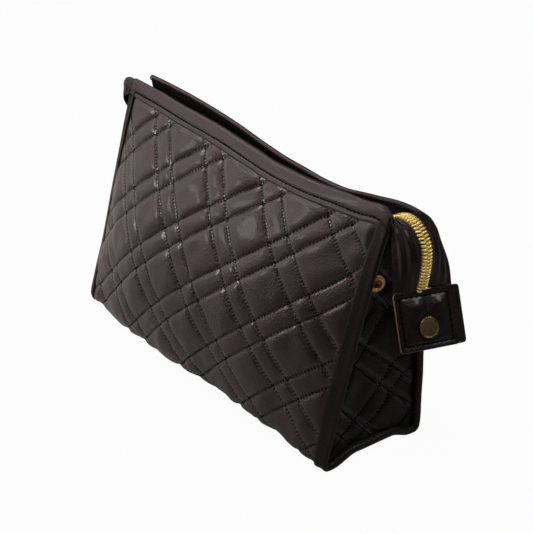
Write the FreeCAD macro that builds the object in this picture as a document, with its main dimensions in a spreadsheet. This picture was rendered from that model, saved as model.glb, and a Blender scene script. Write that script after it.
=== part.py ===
"""Soft quilted leather jewellery case with a recessed zip and a press-stud tab at each end.

X runs along the case, the front wall faces -Y and Z is up. The origin is the middle of the flat underside.
"""
import FreeCAD, Part
import math
import os
import Sketcher

# Driving sizes in millimetres and degrees.
SIZES = [
    ("body_length", 250, "case from end to end, without the wings"),
    ("body_depth", 80, "widest part of the section, near the base"),
    ("body_height", 156, "top of the wall leather above the ground"),
    ("mouth_width", 17, "outer face to outer face at the top"),
    ("base_round", 10, "outer radius where the base turns up into a wall"),
    ("leather", 1.2, "outer leather, binding and facing thickness"),
    ("padding", 2, "wadding under the quilting"),
    ("swell", 18, "how far a padded side stands out in its middle"),
    ("lining", 0.5, "inner cloth"),
    ("seam", 6, "how far the wadding stops short of an end"),
    ("binding", 8, "visible width of a bound edge"),
    ("play", 0.3, "clearance between parts that move apart"),
    ("zip_depth", 14, "upper face of the zip tape below the wall top"),
    ("zip_inset", 17, "opening part of the zip, short of each end"),
    ("tape", 0.6, "zip tape thickness"),
    ("tape_gap", 1, "inner edge of a tape from the centre line"),
    ("tape_half", 4.9, "half width of the tape that runs over an end"),
    ("pitch", 3, "coil spacing along one row"),
    ("coil_width", 1.1, "one coil along the zip"),
    ("coil_height", 1.5, "coil above the tape"),
    ("coil_reach", 3.9, "outer side of a row from the centre line"),
    ("coil_cross", 0.7, "coil past the centre line"),
    ("cord", 0.9, "width of the cord that carries the coil"),
    ("cord_height", 0.9, "height of the cord under the joined coil"),
    ("slider_inset", 38, "closed slider, middle, from the left end"),
    ("slider_length", 11, "slider plates along the zip"),
    ("slider_half", 4.4, "half width of the slider plates"),
    ("slider_plate", 1.2, "slider plate thickness"),
    ("slider_room", 0.8, "room between coil and slider plate"),
    ("bail_width", 2.2, "loop on the slider that holds the pull"),
    ("bail_length", 8, "length of that loop"),
    ("pull_length", 24, "pull from its pin to its end"),
    ("pull_width", 4.8, "pull across"),
    ("pull_thick", 1.2, "pull thickness and pin size"),
    ("fold_right", 10, "how far the right end panel is folded in"),
    ("fold_left", 10, "how far the left end panel is folded in"),
    ("fold_flat", 0.36, "flat middle of an end panel as a share of its width"),
    ("gusset_drop", 4, "end panel below the zip"),
    ("socket_drop", 35.5, "press-stud socket below the zip"),
    ("socket_size", 10.5, "socket ring diameter"),
    ("socket_bore", 5.5, "socket hole diameter"),
    ("socket_deep", 2.2, "socket ring thickness"),
    ("stud_size", 4.8, "stud head diameter"),
    ("stud_length", 2, "stud head length"),
    ("rivet", 3.8, "rivet shank diameter"),
    ("flange", 0.8, "thickness of the stud and post flanges"),
    ("cap_size", 12.5, "press-stud cap diameter"),
    ("cap_thick", 1.4, "press-stud cap thickness"),
    ("wing_climb", 11.3, "wing hinge line above the zip"),
    ("wing_out", 3.4, "wing hinge line past the end"),
    ("wing_round", 15.5, "radius of the right wing"),
    ("rise", 27, "angle at which a wing leaves the mouth"),
    ("tuck", 7, "angle at which the right wing drops back"),
    ("drop", 18, "straight fall of the right wing"),
    ("dive", 35, "angle at which the left wing goes back into the end fold"),
    ("turn", 3, "radius where the left wing turns down its tab"),
    ("tilt", 28, "right tab outwards from upright"),
    ("tab_length", 33, "tab from top to bottom"),
    ("tab_width", 41, "tab across"),
    ("tab_leather", 1.3, "one tab leather"),
    ("tab_corner", 3, "tab corner radius"),
    ("tab_grip", 8, "zip tape held between the tab leathers"),
    ("snap_drop", 21, "stud below the top of the tab"),
    ("wrap_half", 7.2, "flat middle of the left tab, half width"),
    ("wrap", 55, "how far the sides of the left tab bend out of the fold"),
]

doc = FreeCAD.newDocument("jewellery_case")
dims = doc.addObject("Spreadsheet::Sheet", "dims")
for row, (alias, size, note) in enumerate(SIZES, 1):
    dims.set(f"A{row}", alias)
    dims.set(f"B{row}", str(size))
    dims.set(f"C{row}", note)
    dims.setAlias(f"B{row}", alias)
doc.recompute()

# Formulas shared by several pieces.
HALF_LENGTH = "(dims.body_length / 2)"
HALF_DEPTH = "(dims.body_depth / 2)"
LEAN = "((dims.body_depth - dims.mouth_width) / 2)"
CLIMB = "(dims.body_height - dims.base_round)"
WALL_R = f"({LEAN} / 2 + {CLIMB} ^ 2 / (2 * {LEAN}))"
TOP = f"asin({CLIMB} / {WALL_R})"
WALL_T = "(dims.leather + dims.padding + dims.lining)"
INSIDE = f"({WALL_T} + dims.leather)"
ZIP_Z = "(dims.body_height - dims.zip_depth)"
ZIP_END = f"({HALF_LENGTH} - dims.zip_inset)"
SLIDER_X = f"(dims.slider_inset - {HALF_LENGTH})"
ROW_START = f"({SLIDER_X} + dims.slider_length / 2 - dims.pitch)"
COIL_TOP = f"({ZIP_Z} + dims.coil_height)"
PLATE_TOP = f"({COIL_TOP} + dims.slider_room + dims.slider_plate)"
PIN_Z = f"({PLATE_TOP} + dims.pull_thick)"
HINGE_X = f"({HALF_LENGTH} + dims.wing_out)"
HINGE_Z = f"({ZIP_Z} + dims.wing_climb)"
RIGHT_X = f"({HINGE_X} + dims.wing_round * sin(dims.rise))"
RIGHT_Z = f"({HINGE_Z} - dims.wing_round * cos(dims.rise))"
SOCKET_Z = f"({ZIP_Z} - dims.socket_drop)"
TAB_TOP = f"({SOCKET_Z} + dims.snap_drop)"
GUSSET_X = f"({HALF_LENGTH} - 2 * dims.play)"
SNAPPED = "(dims.socket_deep + dims.play + dims.flange + dims.tab_leather)"
LEFT_TAB_X = f"({GUSSET_X} - dims.fold_left + {SNAPPED})"
DIVE_X = f"({HINGE_X} - {LEFT_TAB_X} - dims.turn)"
DIVE_Z = f"({HINGE_Z} - {TAB_TOP})"
LEFT_R = (
    f"(({DIVE_Z} * cos(dims.dive) - {DIVE_X} * sin(dims.dive) - dims.turn)"
    " / (1 + cos(dims.rise - dims.dive)))"
)
LEFT_X = f"({HINGE_X} + {LEFT_R} * sin(dims.rise))"
LEFT_Z = f"({HINGE_Z} - {LEFT_R} * cos(dims.rise))"
FACING_LOW = f"asin(({ZIP_Z} - 4 * dims.tape - dims.base_round) / {WALL_R})"

# Where the padded sides swell: place between the bound ends and share of the full swell.
SWELL = ((-1, 0), (-0.55, 0.85), (0, 1), (0.55, 0.85), (1, 0))
SWELL_LEVELS = 6


def number(formula):
    """Value of a formula over the sheet."""
    answer = dims.evalExpression(formula)
    return float(getattr(answer, "Value", answer))


def new_body(label):
    """Empty body that carries one piece."""
    return doc.addObject("PartDesign::Body", label)


def origin_plane(body, role):
    """One of the body's own origin planes."""
    return next(item for item in body.Origin.OriginFeatures if item.Role == role)


def pin_vertex(sketch, geometry, end, across, up):
    """Hold a sketch point at two formulas measured from the origin."""
    for kind, formula, axis in (("DistanceX", across, -2), ("DistanceY", up, -1)):
        size = number(formula)
        if abs(size) < 1e-9:
            sketch.addConstraint(Sketcher.Constraint("PointOnObject", geometry, end, axis))
        else:
            index = sketch.addConstraint(Sketcher.Constraint(kind, -1, 1, geometry, end, size))
            sketch.setExpression(f"Constraints[{index}]", formula)


def arc_edge(start, stop, radius, turn):
    """Arc from start to stop; turn is 1 anticlockwise, -1 clockwise, doubled for the long way round."""
    chord = stop - start
    lift = math.sqrt(max(radius ** 2 - (chord.Length / 2) ** 2, 0))
    left = FreeCAD.Vector(-chord.y, chord.x, 0).normalize()
    side = math.copysign(1, turn) * (1 if abs(turn) == 1 else -1)
    centre = (start + stop) * 0.5 + left * lift * side
    ends = [math.atan2(point.y - centre.y, point.x - centre.x) for point in (start, stop)]
    if turn < 0:
        ends.reverse()
    circle = Part.Circle(centre, FreeCAD.Vector(0, 0, 1), radius)
    return Part.ArcOfCircle(circle, ends[0], ends[1])


def outline(body, plane, corners, height=None, axis=None):
    """Closed sketch. Each corner is (across, up) or (across, up, radius, turn) for an arc to the next."""
    sketch = body.newObject("Sketcher::SketchObject", f"{body.Name}_sketch")
    sketch.AttachmentSupport = [(origin_plane(body, plane), "")]
    sketch.MapMode = "FlatFace"
    if height:
        sketch.setExpression("AttachmentOffset.Base.z", height)
    points = [FreeCAD.Vector(number(corner[0]), number(corner[1]), 0) for corner in corners]
    ends = []
    for index, corner in enumerate(corners):
        start, stop = points[index], points[(index + 1) % len(points)]
        if len(corner) == 2:
            sketch.addGeometry(Part.LineSegment(start, stop), False)
            ends.append((1, 2))
        else:
            sketch.addGeometry(arc_edge(start, stop, number(corner[2]), corner[3]), False)
            ends.append((1, 2) if corner[3] > 0 else (2, 1))
    for index in range(len(corners)):
        after = (index + 1) % len(corners)
        sketch.addConstraint(
            Sketcher.Constraint("Coincident", index, ends[index][1], after, ends[after][0])
        )
    for index, corner in enumerate(corners):
        pin_vertex(sketch, index, ends[index][0], corner[0], corner[1])
        if len(corner) > 2:
            radius = sketch.addConstraint(Sketcher.Constraint("Radius", index, number(corner[2])))
            sketch.setExpression(f"Constraints[{radius}]", corner[2])
    if axis:
        (start, stop), line = axis, len(corners)
        ends = [FreeCAD.Vector(number(point[0]), number(point[1]), 0) for point in (start, stop)]
        sketch.addGeometry(Part.LineSegment(*ends), True)
        pin_vertex(sketch, line, 1, *start)
        pin_vertex(sketch, line, 2, *stop)
    return sketch


def pad(body, sketch, length, symmetric=False, backwards=False):
    """Extrude a sketch."""
    feature = body.newObject("PartDesign::Pad", f"{body.Name}_pad")
    feature.Profile = sketch
    feature.setExpression("Length", length)
    if symmetric:
        feature.SideType = "Symmetric"
    feature.Reversed = backwards
    sketch.Visibility = False
    return feature


def hole(body, plane, across, up, size):
    """Round hole right through a body."""
    sketch = body.newObject("Sketcher::SketchObject", f"{body.Name}_hole")
    sketch.AttachmentSupport = [(origin_plane(body, plane), "")]
    sketch.MapMode = "FlatFace"
    centre = FreeCAD.Vector(number(across), number(up), 0)
    sketch.addGeometry(Part.Circle(centre, FreeCAD.Vector(0, 0, 1), number(size) / 2), False)
    pin_vertex(sketch, 0, 3, across, up)
    index = sketch.addConstraint(Sketcher.Constraint("Diameter", 0, number(size)))
    sketch.setExpression(f"Constraints[{index}]", size)
    cut = body.newObject("PartDesign::Pocket", f"{body.Name}_cut")
    cut.Profile = sketch
    cut.Type = "ThroughAll"
    cut.SideType = "Symmetric"
    return cut


def spin(body, sketch, angle="360", backwards=False):
    """Revolve a sketch about its construction line."""
    feature = body.newObject("PartDesign::Revolution", f"{body.Name}_spin")
    feature.Profile = sketch
    feature.ReferenceAxis = (sketch, ["Axis0"])
    feature.setExpression("Angle", angle)
    feature.Reversed = backwards
    return feature


def turned(label, axis_z, *profiles):
    """Round metal pieces about one line along X. A profile lists (along, radius)."""
    body = new_body(label)
    for profile in profiles:
        corners = [(along, f"{axis_z} + {radius}") for along, radius in profile]
        line = ((profile[0][0], axis_z), (f"{profile[0][0]} + 20", axis_z))
        spin(body, outline(body, "XZ_Plane", corners, axis=line))
    return body


def block(label, plane, across, up, length, symmetric=False, height=None):
    """Straight block from two spans and a length."""
    body = new_body(label)
    corners = [(across[0], up[0]), (across[1], up[0]), (across[1], up[1]), (across[0], up[1])]
    pad(body, outline(body, plane, corners, height), length, symmetric)
    return body


def place(body, base, axis=(0, 1, 0), angle="0"):
    """Bind the placement of a body to formulas."""
    body.Placement = FreeCAD.Placement(
        FreeCAD.Vector(), FreeCAD.Rotation(FreeCAD.Vector(*axis), number(angle))
    )
    for name, formula in zip("xyz", base):
        body.setExpression(f"Placement.Base.{name}", formula)
    if number(angle):
        body.setExpression("Placement.Rotation.Angle", angle)


def along_wall(length):
    """Angle at the centre of the wall's curve for a length of wall."""
    return f"(({length}) / {WALL_R} * 180 / pi * 1 deg)"


def wall_point(side, inset, angle):
    """Point of the wall section; side is -1 at the front, 1 at the rear."""
    radius = f"({WALL_R} - ({inset}))"
    return (
        f"{side} * ({HALF_DEPTH} - {WALL_R} + {radius} * cos({angle}))",
        f"dims.base_round + {radius} * sin({angle})",
    )


def wall_half(inset, height):
    """Distance of the curved wall from the middle at a height."""
    return (
        f"({HALF_DEPTH} - {WALL_R}"
        f" + sqrt(({WALL_R} - ({inset})) ^ 2 - ({height} - dims.base_round) ^ 2))"
    )


def wall_sheet(label, side, inset, thick, low, high, length):
    """One layer of a wall: a curved strip of the section, drawn out along the case."""
    body = new_body(label)
    deep = f"({inset} + {thick})"
    corners = [
        wall_point(side, inset, low) + (f"({WALL_R} - {inset})", side),
        wall_point(side, inset, high),
        wall_point(side, deep, high) + (f"({WALL_R} - {deep})", -side),
        wall_point(side, deep, low),
    ]
    pad(body, outline(body, "YZ_Plane", corners), length, symmetric=True)
    return body


def arc_strip(side, inset, deep, low, high, start, stop):
    """Solid strip of a wall layer on the plain curve of the section, between two places along the case."""
    middle = f"(({low} + {high}) / 2)"
    points = []
    for depth, angles in ((inset, (low, middle, high)), (deep, (high, middle, low))):
        for angle in angles:
            across, up = wall_point(side, depth, angle)
            points.append(FreeCAD.Vector(number(start), number(across), number(up)))
    edges = [
        Part.Arc(*points[:3]).toShape(),
        Part.makeLine(points[2], points[3]),
        Part.Arc(*points[3:]).toShape(),
        Part.makeLine(points[5], points[0]),
    ]
    face = Part.Face(Part.Wire(edges))
    return face.extrude(FreeCAD.Vector(number(stop) - number(start), 0, 0))


def swelled_grid(side, inset):
    """Corners of the flat facets of a wall layer, from bound end to bound end and from base to zip."""
    bound = number(f"{HALF_LENGTH} - dims.binding")
    grid = []
    for place, share in SWELL:
        column = []
        for level in range(SWELL_LEVELS + 1):
            up = level / SWELL_LEVELS
            out = number("dims.swell") * share * 4 * up * (1 - up)
            across, height = wall_point(side, f"{inset} - {out}", f"({FACING_LOW} * {up})")
            column.append(FreeCAD.Vector(place * bound, number(across), number(height)))
        grid.append(column)
    return grid


def padded_sheet(label, side, inset, thick, half):
    """One layer of a padded wall: plain at its bound edges and above the zip, swelled in between."""
    deep = f"({inset} + {thick})"
    outer, inner = swelled_grid(side, inset), swelled_grid(side, deep)
    facets = []
    for grid in (outer, inner):
        for near, far in zip(grid, grid[1:]):
            for low in range(SWELL_LEVELS):
                high = low + 1
                facets.append([near[low], far[low], far[high]])
                facets.append([near[low], far[high], near[high]])
    for column, behind in ((outer[0], inner[0]), (outer[-1], inner[-1])):
        facets.append(column + behind[::-1])
    for level in (0, -1):
        facets.append([column[level] for column in outer] + [column[level] for column in inner[::-1]])
    faces = [Part.Face(Part.makePolygon(facet + facet[:1])) for facet in facets]
    middle = Part.Solid(Part.makeShell(faces))
    if middle.Volume < 0:
        middle.reverse()
    bound = f"({HALF_LENGTH} - dims.binding)"
    strips = [
        arc_strip(side, inset, deep, FACING_LOW, TOP, f"-{half}", half),
        arc_strip(side, inset, deep, "0 deg", FACING_LOW, f"-{half}", f"-{bound}"),
        arc_strip(side, inset, deep, "0 deg", FACING_LOW, bound, half),
    ]
    piece = doc.addObject("Part::Feature", label)
    piece.Shape = middle.fuse(strips).removeSplitter()


def top_binding(label, side):
    """Leather folded over the top edge of a wall."""
    body = new_body(label)
    low = f"({TOP} - {along_wall('dims.binding')})"
    high = f"({TOP} + {along_wall('dims.leather')})"
    outer, deep = "(-dims.leather)", INSIDE
    corners = [
        wall_point(side, outer, low) + (f"({WALL_R} + dims.leather)", side),
        wall_point(side, outer, high),
        wall_point(side, deep, high) + (f"({WALL_R} - {deep})", -side),
        wall_point(side, deep, low),
        wall_point(side, WALL_T, low) + (f"({WALL_R} - {WALL_T})", side),
        wall_point(side, WALL_T, TOP),
        wall_point(side, "0", TOP) + (WALL_R, -side),
        wall_point(side, "0", low),
    ]
    length = "dims.body_length + 2 * dims.leather"
    pad(body, outline(body, "YZ_Plane", corners), length, symmetric=True)
    return body


def side_binding(label, side, end):
    """Leather folded over one end of a wall, turned about the centre of the wall's curve."""
    body = new_body(label)
    near = f"{end} * ({HALF_LENGTH} - dims.binding)"
    edge = f"{end} * {HALF_LENGTH}"
    far = f"{end} * ({HALF_LENGTH} + dims.leather)"
    outer = f"{side} * ({HALF_DEPTH} + dims.leather)"
    face = f"{side} * {HALF_DEPTH}"
    back = f"{side} * ({HALF_DEPTH} - {WALL_T})"
    inner = f"{side} * ({HALF_DEPTH} - {INSIDE})"
    corners = [(near, outer), (far, outer), (far, inner), (near, inner)]
    corners += [(near, back), (edge, back), (edge, face), (near, face)]
    centre = f"{side} * ({HALF_DEPTH} - {WALL_R})"
    sketch = outline(
        body, "XY_Plane", corners, "dims.base_round", ((near, centre), (f"{near} + 20", centre))
    )
    spin(body, sketch, f"{TOP} - {along_wall('dims.binding')}", backwards=side < 0)
    return body


def base_corners(inset, deep):
    """Section of the base between two depths: flat in the middle, rounded up at both sides."""
    flat = f"({HALF_DEPTH} - dims.base_round)"
    outer, inner = f"({HALF_DEPTH} - {inset})", f"({HALF_DEPTH} - {deep})"
    round_out, round_in = f"(dims.base_round - {inset})", f"(dims.base_round - {deep})"
    return [
        (f"-{outer}", "dims.base_round", round_out, 1),
        (f"-{flat}", inset),
        (flat, inset, round_out, 1),
        (outer, "dims.base_round"),
        (inner, "dims.base_round", round_in, -1),
        (flat, deep),
        (f"-{flat}", deep, round_in, -1),
        (f"-{inner}", "dims.base_round"),
    ]


def base_sheet(label, inset, thick, length):
    """One layer of the base."""
    body = new_body(label)
    corners = base_corners(inset, f"({inset} + {thick})")
    pad(body, outline(body, "YZ_Plane", corners), length, symmetric=True)
    return body


def base_binding(label, end):
    """Leather folded over one end of the base and skived flush underneath."""
    body = new_body(label)
    cap = outline(body, "YZ_Plane", base_corners("0", INSIDE), f"{end} * {HALF_LENGTH}")
    pad(body, cap, "dims.leather", backwards=end < 0)
    leaf = outline(body, "YZ_Plane", base_corners(WALL_T, INSIDE), f"{end} * {HALF_LENGTH}")
    pad(body, leaf, "dims.binding", backwards=end > 0)
    return body


def gusset_levels(fold):
    """Height, half width and fold depth of an end panel, from the base to under the zip."""
    room = f"({INSIDE} + dims.play)"
    near_socket = "(dims.socket_size / 2 + 2)"
    levels = [
        ("dims.base_round * 1.4", "0.2"),
        (f"({SOCKET_Z} * 0.56)", "0.6"),
        (f"({SOCKET_Z} - {near_socket})", "1"),
        (f"({SOCKET_Z} + {near_socket})", "1"),
        (f"({ZIP_Z} - dims.gusset_drop)", "1.2"),
    ]
    bottom = (f"({INSIDE} + dims.play)", f"({HALF_DEPTH} - dims.base_round - 1)", f"{fold} * 0.15")
    return [bottom] + [(z, wall_half(room, z), f"{fold} * {share}") for z, share in levels]


def gusset(label, end, fold, skin, thick):
    """End panel: a folded sheet of flat facets from the base to under the zip, pierced for the rivet."""
    rings = []
    for height, half, depth in gusset_levels(fold):
        edge = number(f"{GUSSET_X} - {skin}")
        valley, wide, z = edge - number(depth), number(half), number(height)
        middle = wide * number("dims.fold_flat")
        run = [(edge, -wide), (valley, -middle), (valley, middle), (edge, wide)]
        rings.append([FreeCAD.Vector(end * x, y, z) for x, y in run])
    inwards = FreeCAD.Vector(-end * number(thick), 0, 0)
    outer, inner = rings, [[point + inwards for point in ring] for ring in rings]
    facets = []
    for sheet in (outer, inner):
        for low, high in zip(sheet, sheet[1:]):
            facets += [[low[0], low[1], high[1]], [low[0], high[1], high[0]]]
            facets.append([low[1], low[2], high[2], high[1]])
            facets += [[low[3], high[3], high[2]], [low[3], high[2], low[2]]]
    for low, high, under, over in zip(outer, outer[1:], inner, inner[1:]):
        for corner in (0, 3):
            facets.append([low[corner], high[corner], over[corner], under[corner]])
    for level in (0, -1):
        facets.append(outer[level] + inner[level][::-1])
    faces = [Part.Face(Part.makePolygon(facet + facet[:1])) for facet in facets]
    solid = Part.Solid(Part.makeShell(faces))
    if solid.Volume < 0:
        solid.reverse()
    drill = Part.makeCylinder(
        number("dims.rivet / 2 + dims.play"),
        number("dims.body_length"),
        FreeCAD.Vector(0, 0, number(SOCKET_Z)),
        FreeCAD.Vector(end, 0, 0),
    )
    piece = doc.addObject("Part::Feature", label)
    piece.Shape = solid.cut(drill)


def sockets():
    """Press-stud socket ring outside each end panel and its rivet inside."""
    rings, posts = [], []
    skins = "(dims.leather + dims.lining)"
    for end, fold in ((-1, "dims.fold_left"), (1, "dims.fold_right")):
        face = f"({GUSSET_X} - {fold})"
        ring = [
            (face, "dims.socket_bore / 2"),
            (f"({face} + dims.socket_deep)", "dims.socket_bore / 2"),
            (f"({face} + dims.socket_deep)", "dims.socket_size / 2 - 0.8"),
            (face, "dims.socket_size / 2"),
        ]
        post = [
            (f"({face} - {skins} - dims.flange)", "0"),
            (f"({face} - {skins} - dims.flange)", "dims.socket_size / 2"),
            (f"({face} - {skins})", "dims.socket_size / 2"),
            (f"({face} - {skins})", "dims.rivet / 2"),
            (f"({face} - dims.lining)", "dims.rivet / 2"),
            (f"({face} - dims.lining)", "0"),
        ]
        rings.append([(f"{end} * {along}", radius) for along, radius in ring])
        posts.append([(f"{end} * {along}", radius) for along, radius in post])
    turned("sockets", SOCKET_Z, *rings)
    turned("socket_posts", SOCKET_Z, *posts)


def wall(name, side):
    """All the pieces that swing with one wall."""
    short = f"({HALF_LENGTH} - dims.seam)"
    padding_at, lining_at = "dims.leather", "(dims.leather + dims.padding)"
    padded_sheet(f"{name}_panel", side, "0", "dims.leather", HALF_LENGTH)
    padded_sheet(f"{name}_padding", side, padding_at, "dims.padding", short)
    padded_sheet(f"{name}_lining", side, lining_at, "dims.lining", HALF_LENGTH)
    top_binding(f"{name}_top_binding", side)
    side_binding(f"{name}_left_binding", side, -1)
    side_binding(f"{name}_right_binding", side, 1)
    high = f"({TOP} - {along_wall('dims.binding')})"
    wall_sheet(f"{name}_facing", side, WALL_T, "dims.leather", FACING_LOW, high, f"2 * {ZIP_END}")
    tape_out, tape_in = wall_half(INSIDE, ZIP_Z), "dims.tape_gap"
    block(
        f"{name}_zip_tape",
        "YZ_Plane",
        (f"{side} * {tape_out}", f"{side} * {tape_in}"),
        (f"{ZIP_Z} - dims.tape", ZIP_Z),
        f"2 * {ZIP_END}",
        symmetric=True,
    )
    teeth(f"{name}_zip_teeth", side)


def teeth(label, side):
    """One row of the coil: a cord along the tape with evenly spaced coils across the middle."""
    body = new_body(label)
    run = f"({ZIP_END} - {ROW_START})"
    outer, inner = "dims.coil_reach", "(dims.coil_reach - dims.cord)"
    cord = [
        ("0", f"{side} * {outer}"),
        (run, f"{side} * {outer}"),
        (run, f"{side} * {inner}"),
        ("0", f"{side} * {inner}"),
    ]
    pad(body, outline(body, "XY_Plane", cord), "dims.coil_height")
    start = "dims.pitch * 0.25" if side < 0 else "dims.pitch * 0.75"
    low, high = f"({start} - dims.coil_width / 2)", f"({start} + dims.coil_width / 2)"
    coil = [
        (low, f"{side} * {outer}"),
        (high, f"{side} * {outer}"),
        (high, f"{-side} * dims.coil_cross"),
        (low, f"{-side} * dims.coil_cross"),
    ]
    first = pad(body, outline(body, "XY_Plane", coil), "dims.coil_height")
    row = body.newObject("PartDesign::LinearPattern", f"{label}_row")
    row.Originals = [first]
    row.Direction = (next(a for a in body.Origin.OriginFeatures if a.Role == "X_Axis"), [""])
    count = f"floor({run} / dims.pitch)"
    row.setExpression("Occurrences", count)
    row.setExpression("Length", f"dims.pitch * ({count} - 1)")
    body.Tip = row
    place(body, (ROW_START, "0", ZIP_Z))
    return body


def zip_end(name, end):
    """Tape that climbs out of the mouth over one end; it stays with the base."""
    body = new_body(f"{name}_zip_end_tape")
    start, stop = f"({ZIP_END} + dims.play)", f"({HINGE_X} - dims.play)"
    corners = [
        (f"{end} * {start}", f"{ZIP_Z} - dims.tape"),
        (f"{end} * {stop}", f"{HINGE_Z} - dims.tape"),
        (f"{end} * {stop}", HINGE_Z),
        (f"{end} * {start}", ZIP_Z),
    ]
    pad(body, outline(body, "XZ_Plane", corners), "2 * dims.tape_half", symmetric=True)


def right_edge(offset, drop):
    """Right wing outline at an offset from the tape's upper face: hinge, arch end and fall end."""
    radius = f"(dims.wing_round + {offset})"
    return [
        (f"{RIGHT_X} - {radius} * sin(dims.rise)", f"{RIGHT_Z} + {radius} * cos(dims.rise)"),
        (f"{RIGHT_X} + {radius} * cos(dims.tuck)", f"{RIGHT_Z} - {radius} * sin(dims.tuck)"),
        (
            f"{RIGHT_X} + {radius} * cos(dims.tuck) - {drop} * sin(dims.tuck)",
            f"{RIGHT_Z} - {radius} * sin(dims.tuck) - {drop} * cos(dims.tuck)",
        ),
    ]


def right_band(low, high, drop, grip=None):
    """Closed right wing band between two offsets; a grip runs on between the tab leathers."""
    upper, lower = right_edge(high, drop), right_edge(low, drop)
    corners = [upper[0] + (f"(dims.wing_round + {high})", -1), upper[1], upper[2]]
    if grip:
        x, z = f"{upper[2][0]} + {grip} * sin(dims.tilt)", f"{upper[2][1]} - {grip} * cos(dims.tilt)"
        corners.append((x, z))
        corners.append((f"{x} - dims.tape * cos(dims.tilt)", f"{z} - dims.tape * sin(dims.tilt)"))
    corners += [lower[2], lower[1] + (f"(dims.wing_round + {low})", 1), lower[0]]
    return corners


def left_band(low, high, grip=None):
    """Closed left wing band: up over the end, round a loop and back into the fold to the snapped tab."""
    sides = []
    for offset in (high, low):
        radius, small = f"({LEFT_R} + {offset})", f"(dims.turn - {offset})"
        sides.append(
            [
                (f"-{LEFT_X} + {radius} * sin(dims.rise)", f"{LEFT_Z} + {radius} * cos(dims.rise)"),
                (f"-{LEFT_X} - {radius} * sin(dims.dive)", f"{LEFT_Z} - {radius} * cos(dims.dive)"),
                (
                    f"-{LEFT_TAB_X} - dims.turn + {small} * sin(dims.dive)",
                    f"{TAB_TOP} + {small} * cos(dims.dive)",
                ),
                (f"-{LEFT_TAB_X} - {offset}", TAB_TOP),
                radius,
                small,
            ]
        )
    out, back = sides
    corners = [out[0] + (out[4], 1), out[1]]
    if grip:
        corners += [out[2] + (out[5], -1), out[3]]
        corners += [(out[3][0], f"{TAB_TOP} - {grip}"), (back[3][0], f"{TAB_TOP} - {grip}")]
        corners += [back[3] + (back[5], 1), back[2]]
    else:
        corners += [out[2], back[2]]
    corners += [back[1] + (back[4], -1), back[0]]
    return corners


def strip(label, corners, near, far):
    """Band of one width, from its section; near and far are distances along Y."""
    body = new_body(label)
    span = f"({far} - ({near}))"
    pad(body, outline(body, "XZ_Plane", corners, f"-({far})"), span)
    return body


def flare(body, side):
    """Trim a facing so that it leaves the mouth narrow and widens round the right wing."""
    wide = "(dims.tab_width / 2)"
    start = f"({HINGE_X} - 2 * dims.leather)"
    stop = f"({RIGHT_X} + dims.wing_round * 0.6)"
    corner = [(start, "dims.mouth_width / 2"), (stop, wide), (start, wide)]
    corners = [(x, f"{side} * {y}") for x, y in corner]
    cut = body.newObject("PartDesign::Pocket", f"{body.Name}_flare")
    cut.Profile = outline(body, "XY_Plane", corners, RIGHT_Z)
    cut.Type = "ThroughAll"
    cut.Reversed = True


def right_wing():
    """Tape, facings and joined coil that run over the right end to its tab."""
    half = "dims.tape_half"
    strip("right_wing_tape", right_band("-dims.tape", "0", "dims.drop", "dims.tab_grip"), f"-{half}", half)
    facing = right_band("0", "dims.leather", "(dims.drop - 0.8)")
    wide = "(dims.tab_width / 2 - 2)"
    inner = "(dims.coil_reach + dims.play)"
    front = strip("right_wing_front_facing", facing, f"-{wide}", f"-{inner}")
    rear = strip("right_wing_rear_facing", facing, inner, wide)
    for body, side in ((front, -1), (rear, 1)):
        flare(body, side)


def left_wing():
    """Tape and facings that run over the left end and loop back into its fold to the snapped tab."""
    half = "dims.tape_half"
    strip("left_wing_tape", left_band("-dims.tape", "0", "dims.tab_grip"), f"-{half}", half)
    facing = left_band("0", "dims.leather")
    wide, inner = "(dims.mouth_width / 2 - 1)", f"({half} - 1)"
    strip("left_wing_front_facing", facing, f"-{wide}", f"-{inner}")
    strip("left_wing_rear_facing", facing, inner, wide)


def wrapped_leather(body, low, high):
    """One layer of the left tab: flat in the middle, with both sides bent out of the end fold."""
    side = "(dims.tab_width / 2 - dims.wrap_half)"
    ends = []
    for depth in (low, high):
        bend = (depth, f"dims.wrap_half - ({depth}) * tan(dims.wrap / 2)")
        tip = (
            f"{side} * sin(dims.wrap) + ({depth}) * cos(dims.wrap)",
            f"dims.wrap_half + {side} * cos(dims.wrap) - ({depth}) * sin(dims.wrap)",
        )
        ends.append((bend, tip))
    run = [ends[0][1], ends[0][0], ends[1][0], ends[1][1]]
    mirrored = [(x, f"-({y})") for x, y in run]
    corners = run[:2] + mirrored[1::-1] + mirrored[:1:-1] + run[2:]
    pad(body, outline(body, "XY_Plane", corners), "dims.tab_length", backwards=True)


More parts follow.
